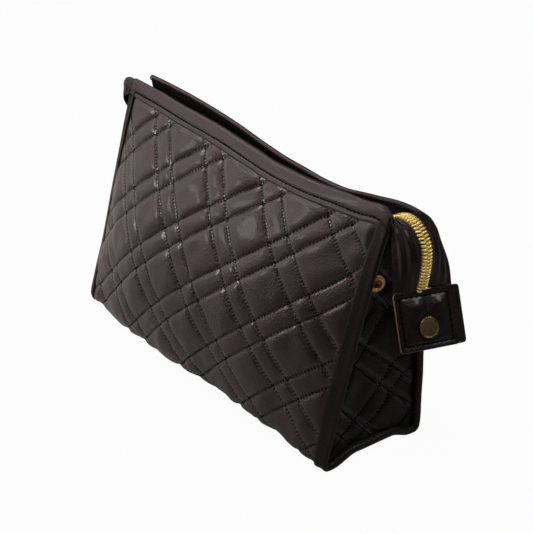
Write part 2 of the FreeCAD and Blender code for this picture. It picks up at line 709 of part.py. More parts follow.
def tab(name, base, axis, angle, wrapped=False):
    """Two tab leathers with a press-stud cap outside and its stud inside."""
    half, radius = "(dims.tab_width / 2)", "dims.tab_corner"
    low = "(-dims.tab_length)"
    shape = [
        (f"-{half}", "0"),
        (f"-{half}", f"{low} + {radius}", radius, 1),
        (f"-{half} + {radius}", low),
        (f"{half} - {radius}", low, radius, 1),
        (half, f"{low} + {radius}"),
        (half, "0"),
    ]
    hole_size = "dims.rivet + 2 * dims.play"
    for layer, backwards in (("front", False), ("back", True)):
        body = new_body(f"{name}_tab_{layer}")
        if wrapped:
            faces = ("-dims.tab_leather", "0") if backwards else ("0", "dims.tab_leather")
            wrapped_leather(body, *faces)
        else:
            pad(body, outline(body, "YZ_Plane", shape), "dims.tab_leather", backwards=backwards)
        if backwards:
            room = "(dims.tape_half + dims.play)"
            slot = [
                (f"-{room}", "1"),
                (f"-{room}", "-dims.tab_grip - dims.play"),
                (room, "-dims.tab_grip - dims.play"),
                (room, "1"),
            ]
            cut = body.newObject("PartDesign::Pocket", f"{body.Name}_slot")
            cut.Profile = outline(body, "YZ_Plane", slot)
            cut.setExpression("Length", "dims.tape + 0.05")
        hole(body, "YZ_Plane", "0", "-dims.snap_drop", hole_size)
        place(body, base, axis, angle)
    axis_z = "(-dims.snap_drop)"
    face, back = "dims.tab_leather", "(-dims.tab_leather)"
    cap = [
        (back, "0"),
        (back, "dims.rivet / 2"),
        (face, "dims.rivet / 2"),
        (face, "dims.cap_size / 2"),
        (f"{face} + dims.cap_thick", "dims.cap_size / 2 - dims.cap_thick / 2"),
        (f"{face} + dims.cap_thick", "0"),
    ]
    place(turned(f"{name}_snap_cap", axis_z, cap), base, axis, angle)
    stud = [
        (back, "0"),
        (back, "dims.socket_size / 2 - 0.5"),
        (f"{back} - dims.flange", "dims.socket_size / 2 - 0.5"),
        (f"{back} - dims.flange", "dims.stud_size / 2"),
        (f"{back} - dims.flange - dims.stud_length", "dims.stud_size / 2 - dims.play"),
        (f"{back} - dims.flange - dims.stud_length", "0"),
    ]
    place(turned(f"{name}_snap_stud", axis_z, stud), base, axis, angle)


def joined_coil(label, run, length):
    """Closed coil along a path: a ribbed strip whose section is drawn out across the zip."""
    step = number("dims.pitch") * 0.75
    low, high = number("dims.cord_height"), number("dims.coil_height")
    half_rib = number("dims.coil_width") / 2
    ribs = int(length // step)
    upper = []
    for index in range(ribs):
        middle = (index + 0.5) * length / ribs
        for at, height in (
            (middle - half_rib, low),
            (middle - half_rib, high),
            (middle + half_rib, high),
            (middle + half_rib, low),
        ):
            upper.append(run(at, height))
    seat = number("dims.play") / 4
    under = [run(length * index / ribs, seat) for index in range(ribs + 1)]
    points = [run(0, low)] + upper + [run(length, low)] + under[::-1]
    face = Part.Face(Part.makePolygon(points + points[:1]))
    half = number("dims.coil_reach")
    solid = face.extrude(FreeCAD.Vector(0, 2 * half, 0))
    piece = doc.addObject("Part::Feature", label)
    piece.Shape = solid
    piece.Placement = FreeCAD.Placement(FreeCAD.Vector(0, -half, 0), FreeCAD.Rotation())


def climb_run(along, height):
    """Point of the coil that climbs out of the right end of the mouth."""
    start = FreeCAD.Vector(number(f"{ZIP_END} + dims.play"), 0, number(ZIP_Z))
    stop = FreeCAD.Vector(number(f"{HINGE_X} - dims.play"), 0, number(HINGE_Z))
    return start + (stop - start).normalize() * along + FreeCAD.Vector(0, 0, height)


def wing_run(along, height):
    """Point of the coil on the right wing: round the arch, then down the straight fall."""
    radius = number("dims.wing_round")
    rise, tuck = math.radians(number("dims.rise")), math.radians(number("dims.tuck"))
    centre = FreeCAD.Vector(number(RIGHT_X), 0, number(RIGHT_Z))
    along += number("dims.coil_width")
    bearing = math.pi / 2 + rise - min(along / radius, math.pi / 2 + rise + tuck)
    out = FreeCAD.Vector(math.cos(bearing), 0, math.sin(bearing))
    down = FreeCAD.Vector(math.sin(bearing), 0, -math.cos(bearing))
    fall = max(along - radius * (math.pi / 2 + rise + tuck), 0)
    return centre + out * (radius + height) + down * fall


def slider():
    """Zip slider: two plates joined by a divider, with a loop for the pull."""
    body = new_body("zip_slider")
    low = f"({ZIP_Z} - dims.tape - dims.play - dims.slider_plate)"
    half = "(dims.slider_length / 2)"
    plate = [
        (f"{SLIDER_X} - {half}", "-dims.slider_half * 0.7"),
        (f"{SLIDER_X} + {half} * 0.3", "-dims.slider_half"),
        (f"{SLIDER_X} + {half}", "-dims.slider_half"),
        (f"{SLIDER_X} + {half}", "dims.slider_half"),
        (f"{SLIDER_X} + {half} * 0.3", "dims.slider_half"),
        (f"{SLIDER_X} - {half}", "dims.slider_half * 0.7"),
    ]
    pad(body, outline(body, "XY_Plane", plate, low), "dims.slider_plate")
    divider = [
        (f"{SLIDER_X} - {half} * 0.9", "0"),
        (f"{SLIDER_X} - {half} * 0.5", "-dims.tape_gap + dims.play"),
        (f"{SLIDER_X} - {half} * 0.1", "0"),
        (f"{SLIDER_X} - {half} * 0.5", "dims.tape_gap - dims.play"),
    ]
    pad(body, outline(body, "XY_Plane", divider, low), f"{PLATE_TOP} - {low}")
    top = f"({PLATE_TOP} - dims.slider_plate)"
    pad(body, outline(body, "XY_Plane", plate, top), "dims.slider_plate")
    bail = new_body("zip_slider_bail")
    reach, thick = "(dims.bail_length / 2)", "dims.slider_plate"
    arch_z = f"({PIN_Z} + dims.pull_thick)"
    loop = [
        (f"{SLIDER_X} - {reach}", PLATE_TOP),
        (f"{SLIDER_X} - {reach} + {thick}", PLATE_TOP),
        (f"{SLIDER_X} - {reach} + {thick}", arch_z),
        (f"{SLIDER_X} + {reach} - {thick}", arch_z),
        (f"{SLIDER_X} + {reach} - {thick}", PLATE_TOP),
        (f"{SLIDER_X} + {reach}", PLATE_TOP),
        (f"{SLIDER_X} + {reach}", f"{arch_z} + {thick}"),
        (f"{SLIDER_X} - {reach}", f"{arch_z} + {thick}"),
    ]
    pad(bail, outline(bail, "XZ_Plane", loop), "dims.bail_width", symmetric=True)


def pull():
    """Zip pull: a pin under the loop, two arms beside it and a flat grip."""
    body = new_body("zip_pull")
    half, arm = "(dims.pull_width / 2)", "(dims.bail_width / 2 + dims.play)"
    pin = "(dims.pull_thick / 2)"
    eye = "(dims.bail_length / 2 + 2 * dims.play)"
    grip = [
        (f"{SLIDER_X} - dims.pull_length", f"-{half}"),
        (f"{SLIDER_X} + {pin}", f"-{half}"),
        (f"{SLIDER_X} + {pin}", half),
        (f"{SLIDER_X} - dims.pull_length", half),
    ]
    low = f"({PIN_Z} - dims.pull_thick / 2)"
    pad(body, outline(body, "XY_Plane", grip, low), "dims.pull_thick")
    window = [
        (f"{SLIDER_X} - {eye}", f"-{arm}"),
        (f"{SLIDER_X} - {pin}", f"-{arm}"),
        (f"{SLIDER_X} - {pin}", arm),
        (f"{SLIDER_X} - {eye}", arm),
    ]
    cut = body.newObject("PartDesign::Pocket", "zip_pull_window")
    cut.Profile = outline(body, "XY_Plane", window, low)
    cut.Type = "ThroughAll"
    cut.SideType = "Symmetric"


SHORT = "dims.body_length - 2 * dims.seam"
base_sheet("base_panel", "0", "dims.leather", "dims.body_length")
base_sheet("base_padding", "dims.leather", "dims.padding", SHORT)
base_sheet("base_lining", "(dims.leather + dims.padding)", "dims.lining", "dims.body_length")
for end_name, end_sign, fold_size in (("left", -1, "dims.fold_left"), ("right", 1, "dims.fold_right")):
    base_binding(f"{end_name}_base_binding", end_sign)
    gusset(f"{end_name}_gusset", end_sign, fold_size, "0", "dims.leather")
    gusset(f"{end_name}_gusset_lining", end_sign, fold_size, "dims.leather", "dims.lining")
    zip_end(end_name, end_sign)
sockets()
wall("front", -1)
wall("rear", 1)
slider()
pull()

CLIMB_LENGTH = math.hypot(number(f"{HINGE_X} - {ZIP_END}"), number("dims.wing_climb"))
joined_coil("right_zip_end_coil", climb_run, CLIMB_LENGTH - number("2 * dims.coil_height"))
right_wing()
ARCH_LENGTH = number("dims.wing_round") * math.radians(number("90 + dims.rise + dims.tuck"))
joined_coil(
    "right_wing_coil",
    wing_run,
    ARCH_LENGTH + number("dims.drop - dims.coil_height - dims.coil_width"),
)
FALL_END = right_edge("0", "dims.drop")[2]
tab("right", (FALL_END[0], "0", FALL_END[1]), (0, 1, 0), "-dims.tilt")

left_wing()
tab("left", (f"-{LEFT_TAB_X}", "0", TAB_TOP), (0, 0, 1), "180", wrapped=True)

doc.recompute()
pieces = [item for item in doc.Objects if item.TypeId in ("PartDesign::Body", "Part::Feature")]
for item in doc.Objects:
    if "Invalid" in item.State or "Error" in item.State:
        raise RuntimeError(f"{item.Label} did not build: {item.State}")
os.makedirs("parts", exist_ok=True)
for piece in pieces:
    if piece.Shape.isNull() or not piece.Shape.isValid() or not piece.Shape.Solids:
        raise RuntimeError(f"{piece.Label} is not a valid solid")
    piece.Shape.exportStep(f"parts/{piece.Label}.step")
print(len(pieces), "pieces written")
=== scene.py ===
"""Soft quilted leather jewellery case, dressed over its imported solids.

X runs along the case, the front faces -Y and Z is up. Shapes are worked out in millimetres and
turned into metres when a mesh is made.
"""

import math

import bpy
import numpy as np
from bpy.props import FloatProperty, FloatVectorProperty, PointerProperty
from mathutils import Matrix, Vector, noise


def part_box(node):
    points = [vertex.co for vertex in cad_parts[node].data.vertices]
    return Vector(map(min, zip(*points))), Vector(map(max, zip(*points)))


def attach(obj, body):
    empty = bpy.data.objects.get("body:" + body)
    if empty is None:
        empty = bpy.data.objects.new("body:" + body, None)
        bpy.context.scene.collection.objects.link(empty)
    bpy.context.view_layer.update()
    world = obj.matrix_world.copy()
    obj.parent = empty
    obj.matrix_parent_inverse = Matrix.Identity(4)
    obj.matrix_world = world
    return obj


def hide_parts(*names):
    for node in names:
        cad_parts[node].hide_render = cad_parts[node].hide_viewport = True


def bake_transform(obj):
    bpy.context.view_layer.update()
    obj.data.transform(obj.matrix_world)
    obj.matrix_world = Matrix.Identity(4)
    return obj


bl_info = {
    "name": "Leather jewellery case",
    "version": (1, 0, 0),
    "blender": (4, 5, 0),
    "location": "View3D > Sidebar > Case",
    "description": "Builds a quilted leather jewellery case around its solid frame",
    "category": "Add Mesh",
}

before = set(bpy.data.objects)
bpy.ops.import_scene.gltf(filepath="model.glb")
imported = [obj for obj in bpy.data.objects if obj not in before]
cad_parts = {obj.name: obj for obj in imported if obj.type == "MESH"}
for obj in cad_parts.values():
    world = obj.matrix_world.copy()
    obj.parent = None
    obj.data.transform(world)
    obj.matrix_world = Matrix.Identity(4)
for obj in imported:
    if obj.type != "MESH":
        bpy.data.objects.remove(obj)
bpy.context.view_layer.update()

# Sizes are in millimetres. Only the property groups, blends, finishes and the stage are in metres.
MM = 0.001
UP = np.array([0.0, 0.0, 1.0])
FRONT, REAR = -1, 1
LEFT, RIGHT = -1, 1
SIDE_NAME = {FRONT: "front", REAR: "rear"}
END_NAME = {LEFT: "left", RIGHT: "right"}
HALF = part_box("front_panel")[1].x / MM
SKIN_END = HALF - 0.6
ZIP_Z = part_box("front_zip_tape")[1].z / MM

# Grid of a long side: columns along it, rows over the underside and then up the wall.
COLUMNS = 200
FOOT_ROWS = 40
WALL_ROWS = 150
TOP_ROW = FOOT_ROWS + WALL_ROWS
# Rows over which the fold at the foot is rounded off.
ROUNDING = 5.0
# Length of leather from the rim down to the foot.
DROP = 153.0
# Half depth of the foot, and how far the rear one is drawn in at the right end.
FOOT_HALF = 39.2
REAR_TUCK = 5.2
# How far outside and below the middle of its rim the leather of a side ends.
RIM_OUT, RIM_DOWN = 2.0, 1.5
# Height of the quilt's inner face, from the smooth face of a side.
QUILT_BACK = -3.4
# Where the falling and the rising quilting lines of the front start.
FALL_START, RISE_START = -106.0, -76.3

# The two rims of the mouth: along the case, across it, height.
RIMS = {
    FRONT: (
        (-125, -6.0, 157.8), (-100, -5.2, 157.9), (-60, -5.2, 156.9), (-20, -5.0, 156.0), (5, -5.6, 154.2),
        (25, -6.2, 153.4), (60, -6.3, 154.3), (85, -5.8, 157.0), (105, -5.8, 157.8), (115, -6.0, 157.4),
        (120.5, -6.4, 155.6), (125, -7.0, 152.0),
    ),
    REAR: (
        (-125, 7.0, 156.8), (-108, 6.6, 157.6), (-62, 5.6, 157.3), (-32, 4.8, 155.7), (0, 3.8, 152.7),
        (18, 2.9, 151.8), (36, 1.9, 152.0), (58, 1.6, 151.7), (75, 3.4, 152.1), (90, 8.5, 152.8),
        (105, 13.2, 152.9), (117, 16.0, 151.2), (125, 17.5, 149.6),
    ),
}

# How far the foot of the front side spreads past the edge of the base, along the case.
FOOT_SPREAD = (
    (-125, 4.4), (-116, 8.0), (-105, 7.0), (-62, 7.2), (-40, 4.6), (-16, 4.6), (2, 3.4), (20, -0.8),
    (32, -1.0), (44, 0.6), (60, 3.6), (72, 4.0), (84, 1.6), (105, 7.0), (125, 4.6),
)

# Share of its step that a stitch covers, how high it bows, and how many pairs of lines lie each way.
STITCH_SPAN = 0.1, 0.62
STITCH_BOW = 0.15
LINE_PAIRS = 12
# Painted shade: the colours put in the holes of the stitches and along the creases of the quilting.
STITCH_HOLE_SHADE = 0.0006, 0.0005, 0.0005
CREASE_SHADE = 0.004, 0.003, 0.003


def plain_property(name, description, default, measure="NONE"):
    return FloatProperty(name=name, description=description, default=default, unit=measure)


def length_property(name, description, default):
    return plain_property(name, description, default, "LENGTH")


def power_property(name, description, default):
    return plain_property(name, description, default, "POWER")


def colour_property(name, description, default):
    return FloatVectorProperty(name=name, description=description, default=default, subtype="COLOR")


class CaseShape(bpy.types.PropertyGroup):
    """Sizes of the soft case."""

    bulge: length_property("Bulge", "How far a long side swells at its middle", 0.027)
    end_bulge: plain_property("End bulge", "Share of the bulge that is left at an end", 0.12)
    foot_bow: length_property("Foot bow", "How far the lower edge bows outwards", 0.0045)
    pitch: length_property("Quilting pitch", "Spacing of the double lines along the case", 0.0577)
    gap: length_property("Quilting gap", "Gap between the lines of one pair", 0.0186)
    rise: plain_property("Quilting slope", "Fall of a line for each step along", 0.9)
    puff: length_property("Puff", "Height of a wide quilted field", 0.0028)
    stitch: length_property("Stitch", "Length of one stitch", 0.0022)
    thread: length_property("Thread", "Thickness of the thread", 0.0011)
    coil_pitch: length_property("Coil pitch", "Spacing of the zip coils in one row", 0.0019)
    coil_wire: length_property("Coil wire", "Thickness of the coil", 0.0015)


class CaseColours(bpy.types.PropertyGroup):
    """Colours of the case."""

    leather: colour_property("Leather", "Soft black leather", (0.0064, 0.0048, 0.0048))
    facing: colour_property("Facing", "Smooth black leather inside the mouth", (0.0024, 0.0019, 0.0019))
    raw_edge: colour_property("Raw edge", "Cut edge of the tab leather", (0.085, 0.055, 0.042))
    thread: colour_property("Thread", "Sewing thread", (0.0008, 0.0007, 0.0007))
    lining: colour_property("Lining", "Woven lining", (0.018, 0.017, 0.017))
    tape: colour_property("Zip tape", "Woven zip tape", (0.012, 0.011, 0.011))
    gold: colour_property("Zip gold", "Gilt zip coil and slider", (1.0, 0.75, 0.24))
    old_brass: colour_property("Old brass", "Darkened brass of the caps", (0.42, 0.29, 0.12))
    brass: colour_property("Brass", "Bright brass of the sockets", (0.85, 0.46, 0.18))


class CaseStage(bpy.types.PropertyGroup):
    """Floor, light and camera."""

    floor: colour_property("Floor", "Pale floor and backdrop", (0.5, 0.495, 0.49))
    key: power_property("Key light", "Lamp in front, on the left", 4.6)
    top: power_property("Top light", "Lamp above, on the left", 9.0)
    fill: power_property("Fill light", "Lamp on the right", 5.0)
    glint: power_property("Glint", "Small lamp behind the right end", 3.4)
    side: power_property("Side light", "Broad lamp on the left", 5.2)
    lens: length_property("Lens", "Focal length of the camera", 0.09245)


class Wire:
    """A shader socket that adds Math nodes where it is used in an expression."""

    def __init__(self, finish, socket):
        self.finish = finish
        self.socket = socket

    def __add__(self, other):
        return self.finish.math("ADD", self, other)

    __radd__ = __add__

    def __sub__(self, other):
        return self.finish.math("SUBTRACT", self, other)

    def __rsub__(self, other):
        return self.finish.math("SUBTRACT", other, self)

    def __mul__(self, other):
        return self.finish.math("MULTIPLY", self, other)

    __rmul__ = __mul__

    def __truediv__(self, other):
        return self.finish.math("DIVIDE", self, other)

    def __abs__(self):
        return self.finish.math("ABSOLUTE", self)

    def least(self, other):
        return self.finish.math("MINIMUM", self, other)

    def wrapped(self, length):
        """The value within one repeat of length."""
        return self.finish.math("FLOORED_MODULO", self, length)

    def fade(self, full, none):
        """One at full and nothing at none, with a soft step between them."""
        settings = {"interpolation_type": "SMOOTHSTEP"}
        values = {"Value": self, "From Min": none, "From Max": full, "To Min": 0.0, "To Max": 1.0}
        return self.finish.add("ShaderNodeMapRange", settings, values)


class Finish:
    """The nodes of a material or of the world, put together from sockets."""

    def __init__(self, owner):
        self.owner = owner
        owner.use_nodes = True
        self.tree = owner.node_tree
        self.shader = self.tree.nodes.get("Principled BSDF")

    def plug(self, socket, value):
        """Links a wire to a socket, or sets the socket to a plain value."""
        if isinstance(value, Wire):
            self.tree.links.new(value.socket, socket)
        elif socket.type == "RGBA" and len(value) == 3:
            socket.default_value = (*value, 1.0)
        else:
            socket.default_value = value

    def add(self, kind, settings=None, inputs=None, output=0):
        """A node of a kind, its settings first and then its sockets."""
        node = self.tree.nodes.new(kind)
        for name, value in (settings or {}).items():
            setattr(node, name, value)
        for name, value in (inputs or {}).items():
            self.plug(node.inputs[name], value)
        return Wire(self, node.outputs[output])

    def math(self, operation, first, second=None):
        values = [first] if second is None else [first, second]
        return self.add("ShaderNodeMath", {"operation": operation}, dict(enumerate(values)))

    def mix(self, share, first, second):
        """A colour between two colours."""
        inputs = {"Factor": share, 6: first, 7: second}
        return self.add("ShaderNodeMix", {"data_type": "RGBA"}, inputs, 2)

    def split(self, vector):
        """The first two numbers of a vector."""
        node = self.add("ShaderNodeSeparateXYZ", None, {"Vector": vector}).socket.node
        return Wire(self, node.outputs[0]), Wire(self, node.outputs[1])

    def vector(self, x, y, z):
        return self.add("ShaderNodeCombineXYZ", None, {0: x, 1: y, 2: z})

    def spot(self):
        """The place on the piece in metres."""
        return self.add("ShaderNodeTexCoord", None, None, "Object")

    def noise(self, place, scale, detail, rough=0.5):
        inputs = {"Vector": place, "Scale": scale, "Detail": detail, "Roughness": rough}
        return self.add("ShaderNodeTexNoise", None, inputs)

    def cells(self, place, scale):
        return self.add("ShaderNodeTexVoronoi", None, {"Vector": place, "Scale": scale})

    def bumps(self, height, depth, strength=1.0):
        """A normal from a height that is given in metres times 1 / depth."""
        return self.add("ShaderNodeBump", None, {"Height": height, "Distance": depth, "Strength": strength})

    def done(self, **sockets):
        """Fills the shader's sockets, named with underscores for spaces."""
        for name, value in sockets.items():
            self.plug(self.shader.inputs[name.replace("_", " ")], value)
        return self.owner


def shape_of():
    """The case's sizes in millimetres, shares and slopes as they are."""
    group = bpy.context.scene.case_shape
    plain = ("end_bulge", "rise")
    names = CaseShape.__annotations__
    return {name: getattr(group, name) / (1 if name in plain else MM) for name in names}


def smooth_curve(knots, x):
    """A soft curve through knots, read at x."""
    places, values = np.array(knots, float).T
    slopes = np.gradient(values, places)
    i = np.clip(np.searchsorted(places, x) - 1, 0, len(places) - 2)
    span = places[i + 1] - places[i]
    t = np.clip((x - places[i]) / span, 0, 1)
    low = (1 + 2 * t) * (1 - t) ** 2 * values[i] + t * t * (3 - 2 * t) * values[i + 1]
    return low + span * (t * (1 - t) ** 2 * slopes[i] + t * t * (t - 1) * slopes[i + 1])


def soft_step(value, none, full):
    t = np.clip((value - none) / (full - none), 0, 1)
    return t * t * (3 - 2 * t)


def unit(vectors):
    return vectors / np.linalg.norm(vectors, axis=-1, keepdims=True)


def ripple(places, size, seed):
    """Smooth noise between about -1 and 1 at places, which are given as their x, y and z."""
    places = np.stack(np.broadcast_arrays(*places), -1).astype(float)
    values = [noise.noise(Vector(p)) for p in (places / size + seed * 7.3).reshape(-1, 3)]
    return np.reshape(values, places.shape[:-1])


def grid_of(first, second):
    return np.meshgrid(first, second, indexing="ij")


def grid_normals(points):
    return unit(np.cross(np.gradient(points, axis=0), np.gradient(points, axis=1)))


def distances(points):
    """How far along a path each of its points is."""
    return np.concatenate([[0], np.cumsum(np.linalg.norm(np.diff(points, axis=0), axis=1))])


def curve_through(knots, share):
    """Points at shares of the way along a soft curve through knots."""
    knots = np.array(knots, float)
    spaced = distances(knots)
    columns = [smooth_curve(np.stack([spaced, column], 1), share * spaced[-1]) for column in knots.T]
    return np.stack(columns, 1)


def rim_line(side, x):
    """Across and height of a rim at places along the case."""
    knots = np.array(RIMS[side], float)
    return smooth_curve(knots[:, :2], x), smooth_curve(knots[:, ::2], x)


class Wall:
    """The smooth outer face of one long side, from the middle of the underside up to the rim."""

    def __init__(self, side, shape):
        self.side = side
        self.shape = shape
        xs = np.linspace(-SKIN_END, SKIN_END, COLUMNS + 1)
        q = (xs / HALF)[:, None]
        top_y, top_z = (line[:, None] for line in rim_line(side, xs))
        tuck = REAR_TUCK * soft_step(q, 0.2, 1.0) if side == REAR else 0 * q
        sway = ripple((xs, 0, 0), 21, 40 + side)[:, None]
        bow = shape["foot_bow"] * (1 - q * q) * (1 - 0.35 * q)
        foot_y = side * (FOOT_HALF - tuck + bow + 0.9 * sway)
        spread = smooth_curve(FOOT_SPREAD, xs)[:, None] * side if side == FRONT else 0 * q
        share = np.arange(FOOT_ROWS)[None] / FOOT_ROWS
        up = np.linspace(0, 1, WALL_ROWS + 1)[None]
        down = 1 - up
        run_y, run_z = top_y + side * RIM_OUT - foot_y, top_z - RIM_DOWN
        slant = np.hypot(run_y, run_z)
        ends = shape["end_bulge"] * (1 - tuck / REAR_TUCK) * (0.35 + 0.65 * soft_step(q, -1.0, -0.4))
        belly = ends + (1 - ends) * (1 - np.abs(q) ** 3)
        out = shape["bulge"] * belly * 4 * up * down * (1 - 0.2 * (up - down))
        wall_y = foot_y + run_y * up + side * out * run_z / slant
        y = np.hstack([(foot_y + spread) * share, wall_y + spread * down ** 4])
        z = np.hstack([0 * foot_y * share, run_z * up - side * out * run_y / slant])
        y = self.rounded(y, -1)
        z = self.rounded(z, 1) + self.arch(xs[:, None], y)
        self.points = np.dstack([np.broadcast_to(xs[:, None], y.shape), y, z])
        self.normals = -side * grid_normals(self.points)

    @staticmethod
    def arch(x, y):
        """How far the underside is lifted off the ground at the right end."""
        near = np.exp(-(((HALF - x) / 17.0) ** 2))
        return 5.0 * near * soft_step(y, -36, -18) * soft_step(y, 27, 10)

    @staticmethod
    def rounded(values, mirror):
        """The values with the fold at the foot rounded off; the underside's middle line stays."""
        reach = int(3 * ROUNDING)
        steps = np.arange(-reach, reach + 1)
        weights = np.exp(-0.5 * (steps / ROUNDING) ** 2)
        before = mirror * values[:, reach:0:-1]
        after = 2 * values[:, -1:] - values[:, -2:-reach - 2:-1]
        long = np.hstack([before, values, after])
        count = values.shape[1]
        parts = [w * long[:, k:k + count] for k, w in enumerate(weights)]
        return sum(parts) / weights.sum()

    def at(self, x, row, lift=0.0):
        """Points of the face at x and a row, raised by lift."""
        x, row, lift = np.broadcast_arrays(np.asarray(x, float), row, lift)
        column = (x + SKIN_END) / (2 * SKIN_END) * COLUMNS
        i = np.clip(column.astype(int), 0, COLUMNS - 1)
        j = np.clip(row.astype(int), 0, TOP_ROW - 1)
        a = (column - i)[..., None]
        b = (row - j)[..., None]

        def between(grid):
            low = grid[i, j] * (1 - a) + grid[i + 1, j] * a
            high = grid[i, j + 1] * (1 - a) + grid[i + 1, j + 1] * a
            return low * (1 - b) + high * b

        return between(self.points) + unit(between(self.normals)) * lift[..., None]

    def out(self, x, row):
        """Directions straight out of the face."""
        return unit(self.at(x, row, 1.0) - self.at(x, row))

    def starts(self):
        """Where the falling and the rising quilting lines start, so that they meet under the case."""
        if self.side == FRONT:
            return FALL_START, RISE_START
        turn = 2 * (DROP + FOOT_ROWS) / self.shape["rise"]
        return RISE_START - turn, FALL_START + turn


def row_of(depth):
    """The row at a depth below the rim, along the leather."""
    depth = np.asarray(depth, float)
    return np.where(depth <= DROP, TOP_ROW - depth * WALL_ROWS / DROP, FOOT_ROWS + DROP - depth)


def depth_of(row):
    row = np.asarray(row, float)
    return np.where(row >= FOOT_ROWS, (TOP_ROW - row) * DROP / WALL_ROWS, DROP + FOOT_ROWS - row)


def pillow(place, shape):
    """Height share across one repeat of a pair of lines, and the field's width."""
    place = np.mod(place, shape["pitch"])
    wide = place > shape["gap"]
    width = np.where(wide, shape["pitch"] - shape["gap"], shape["gap"])
    t = np.where(wide, (place - shape["gap"]) / width, place / width)
    away = np.minimum(t, 1 - t) * width
    return 0.72 * (1 - np.exp(-away / 2.7)) + 0.28 * 4 * t * (1 - t), width


def quilted(x, depth, starts, shape):
    """Height of the quilting."""
    fall, fall_width = pillow(x - depth / shape["rise"] - starts[0], shape)
    rise, rise_width = pillow(x + depth / shape["rise"] - starts[1], shape)
    narrow = np.minimum(fall_width, rise_width) / (shape["pitch"] - shape["gap"])
    return shape["puff"] * (0.45 + 0.55 * narrow) * (fall * rise) ** 0.75


def stitch_ends(starts, shape, low, high, inside):
    """Ends of the stitches of every quilting line, as places along and depths."""
    slope = shape["rise"]
    step = shape["stitch"] * slope / math.hypot(1, slope)
    counts = np.arange(math.ceil(low / step), math.floor(high / step))
    depth = (counts[:, None] + np.array(STITCH_SPAN)) * step
    found = []
    for sign, start in zip((1, -1), starts):
        for pair in range(-LINE_PAIRS, LINE_PAIRS + 1):
            for line in (0, shape["gap"]):
                x = start + line + pair * shape["pitch"] + sign * depth / slope
                keep = np.all(inside(x, depth), axis=1)
                found.append(np.dstack([x, depth])[keep])
    return np.concatenate(found)


def new_piece(name, points, faces):
    """An object with smooth faces, from points in millimetres."""
    mesh = bpy.data.meshes.new(name)
    mesh.from_pydata((np.asarray(points) * MM).tolist(), [], faces)
    mesh.validate()
    mesh.shade_smooth()
    piece = bpy.data.objects.new(name, mesh)
    bpy.context.scene.collection.objects.link(piece)
    return piece


def quads(rows, columns, start=0, loop=False):
    """Faces of a grid of points; a loop joins its last column to its first."""
    i, j = grid_of(np.arange(rows - 1), np.arange(columns - (0 if loop else 1)))
    after = (j + 1) % columns
    corners = (i * columns + j, (i + 1) * columns + j, (i + 1) * columns + after, i * columns + after)
    return np.stack(corners, -1).reshape(-1, 4) + start


def inside_out(points, faces):
    """Whether four-cornered faces look into the shape that they go round."""
    first, second, third, fourth = np.moveaxis(points[faces] - points.mean(0), 1, 0)
    return np.sum(first * (np.cross(second, third) + np.cross(third, fourth))) < 0


def slab(name, outer, inner, flat=None):
    """A closed sheet between two grids of points. flat gives its pattern places in millimetres."""
    rows, columns = outer.shape[:2]
    count = rows * columns
    points = np.concatenate([outer.reshape(-1, 3), inner.reshape(-1, 3)])
    index = np.arange(count).reshape(rows, columns)
    edge = np.concatenate([index[0], index[1:, -1], index[-1, -2::-1], index[-2:0:-1, 0]])
    ahead = np.roll(edge, -1)
    border = np.stack([edge, edge + count, ahead + count, ahead], 1)
    faces = np.concatenate([quads(rows, columns), quads(rows, columns, count)[:, ::-1], border])
    if inside_out(points, faces):
        faces = faces[:, ::-1]
    piece = new_piece(name, points, faces.tolist())
    if flat is not None:
        layer = piece.data.uv_layers.new(name="Flat")
        places = np.tile(flat.reshape(-1, 2), (2, 1)) * MM
        corner = np.zeros(len(piece.data.loops), int)
        piece.data.loops.foreach_get("vertex_index", corner)
        layer.data.foreach_set("uv", places[corner].ravel())
    return piece


def sleeve(name, loops):
    """A tube through loops of points, closed by a cap at each end."""
    rows, columns = loops.shape[:2]
    points = loops.reshape(-1, 3)
    sides = quads(rows, columns, loop=True)
    first = np.arange(columns)
    caps = (first, first[::-1] + (rows - 1) * columns)
    step = -1 if inside_out(points, sides) else 1
    return new_piece(name, points, [face[::step].tolist() for face in (*sides, *caps)])


def across_axes(along):
    """Two directions square to each direction and to each other."""
    guide = np.where(np.abs(along[..., 2:]) < 0.9, np.array([0.0, 0, 1]), np.array([1.0, 0, 0]))
    first = unit(np.cross(along, guide))
    return first, np.cross(along, first)


def circle(first, second, count):
    """Points round a circle of radius one in the plane of two directions."""
    turn = np.arange(count)[:, None] * 2 * math.pi / count
    return first[..., None, :] * np.cos(turn) + second[..., None, :] * np.sin(turn)


def rods(name, paths, radii, sides=6):
    """Many thin round rods in one piece. Each path is a row of points, each radius one of its rings."""
    count, rings = paths.shape[:2]
    spread = circle(*across_axes(unit(np.gradient(paths, axis=1))), sides)
    points = paths[:, :, None] + spread * np.asarray(radii)[:, None, None]
    each = rings * sides
    starts = np.arange(count)[:, None, None] * each
    low = np.arange(sides)
    caps = np.stack([low, low[::-1] + each - sides])
    body = quads(rings, sides, loop=True)[:, ::-1]
    faces = (body + starts).reshape(-1, 4).tolist() + (caps + starts).reshape(-1, sides).tolist()
    return new_piece(name, points.reshape(-1, 3), faces)


def sew(name, ends, up, hold):
    """Stitches between pairs of ends, each bowed up a little from the leather."""
    middle = ends.mean(1) + up * STITCH_BOW
    size = shape_of()["thread"] / 2
    piece = rods(name, np.stack([ends[:, 0], middle, ends[:, 1]], 1), (size * 0.6, size, size * 0.6), 5)
    dress(piece, "thread", [], hold)


def turned(name, profile, origin, axis, sides):
    """A round piece from radius and height pairs, turned about an axis."""
    ring = circle(*across_axes(axis), sides)
    return sleeve(name, np.array([origin + r * ring + h * axis for r, h in profile]))


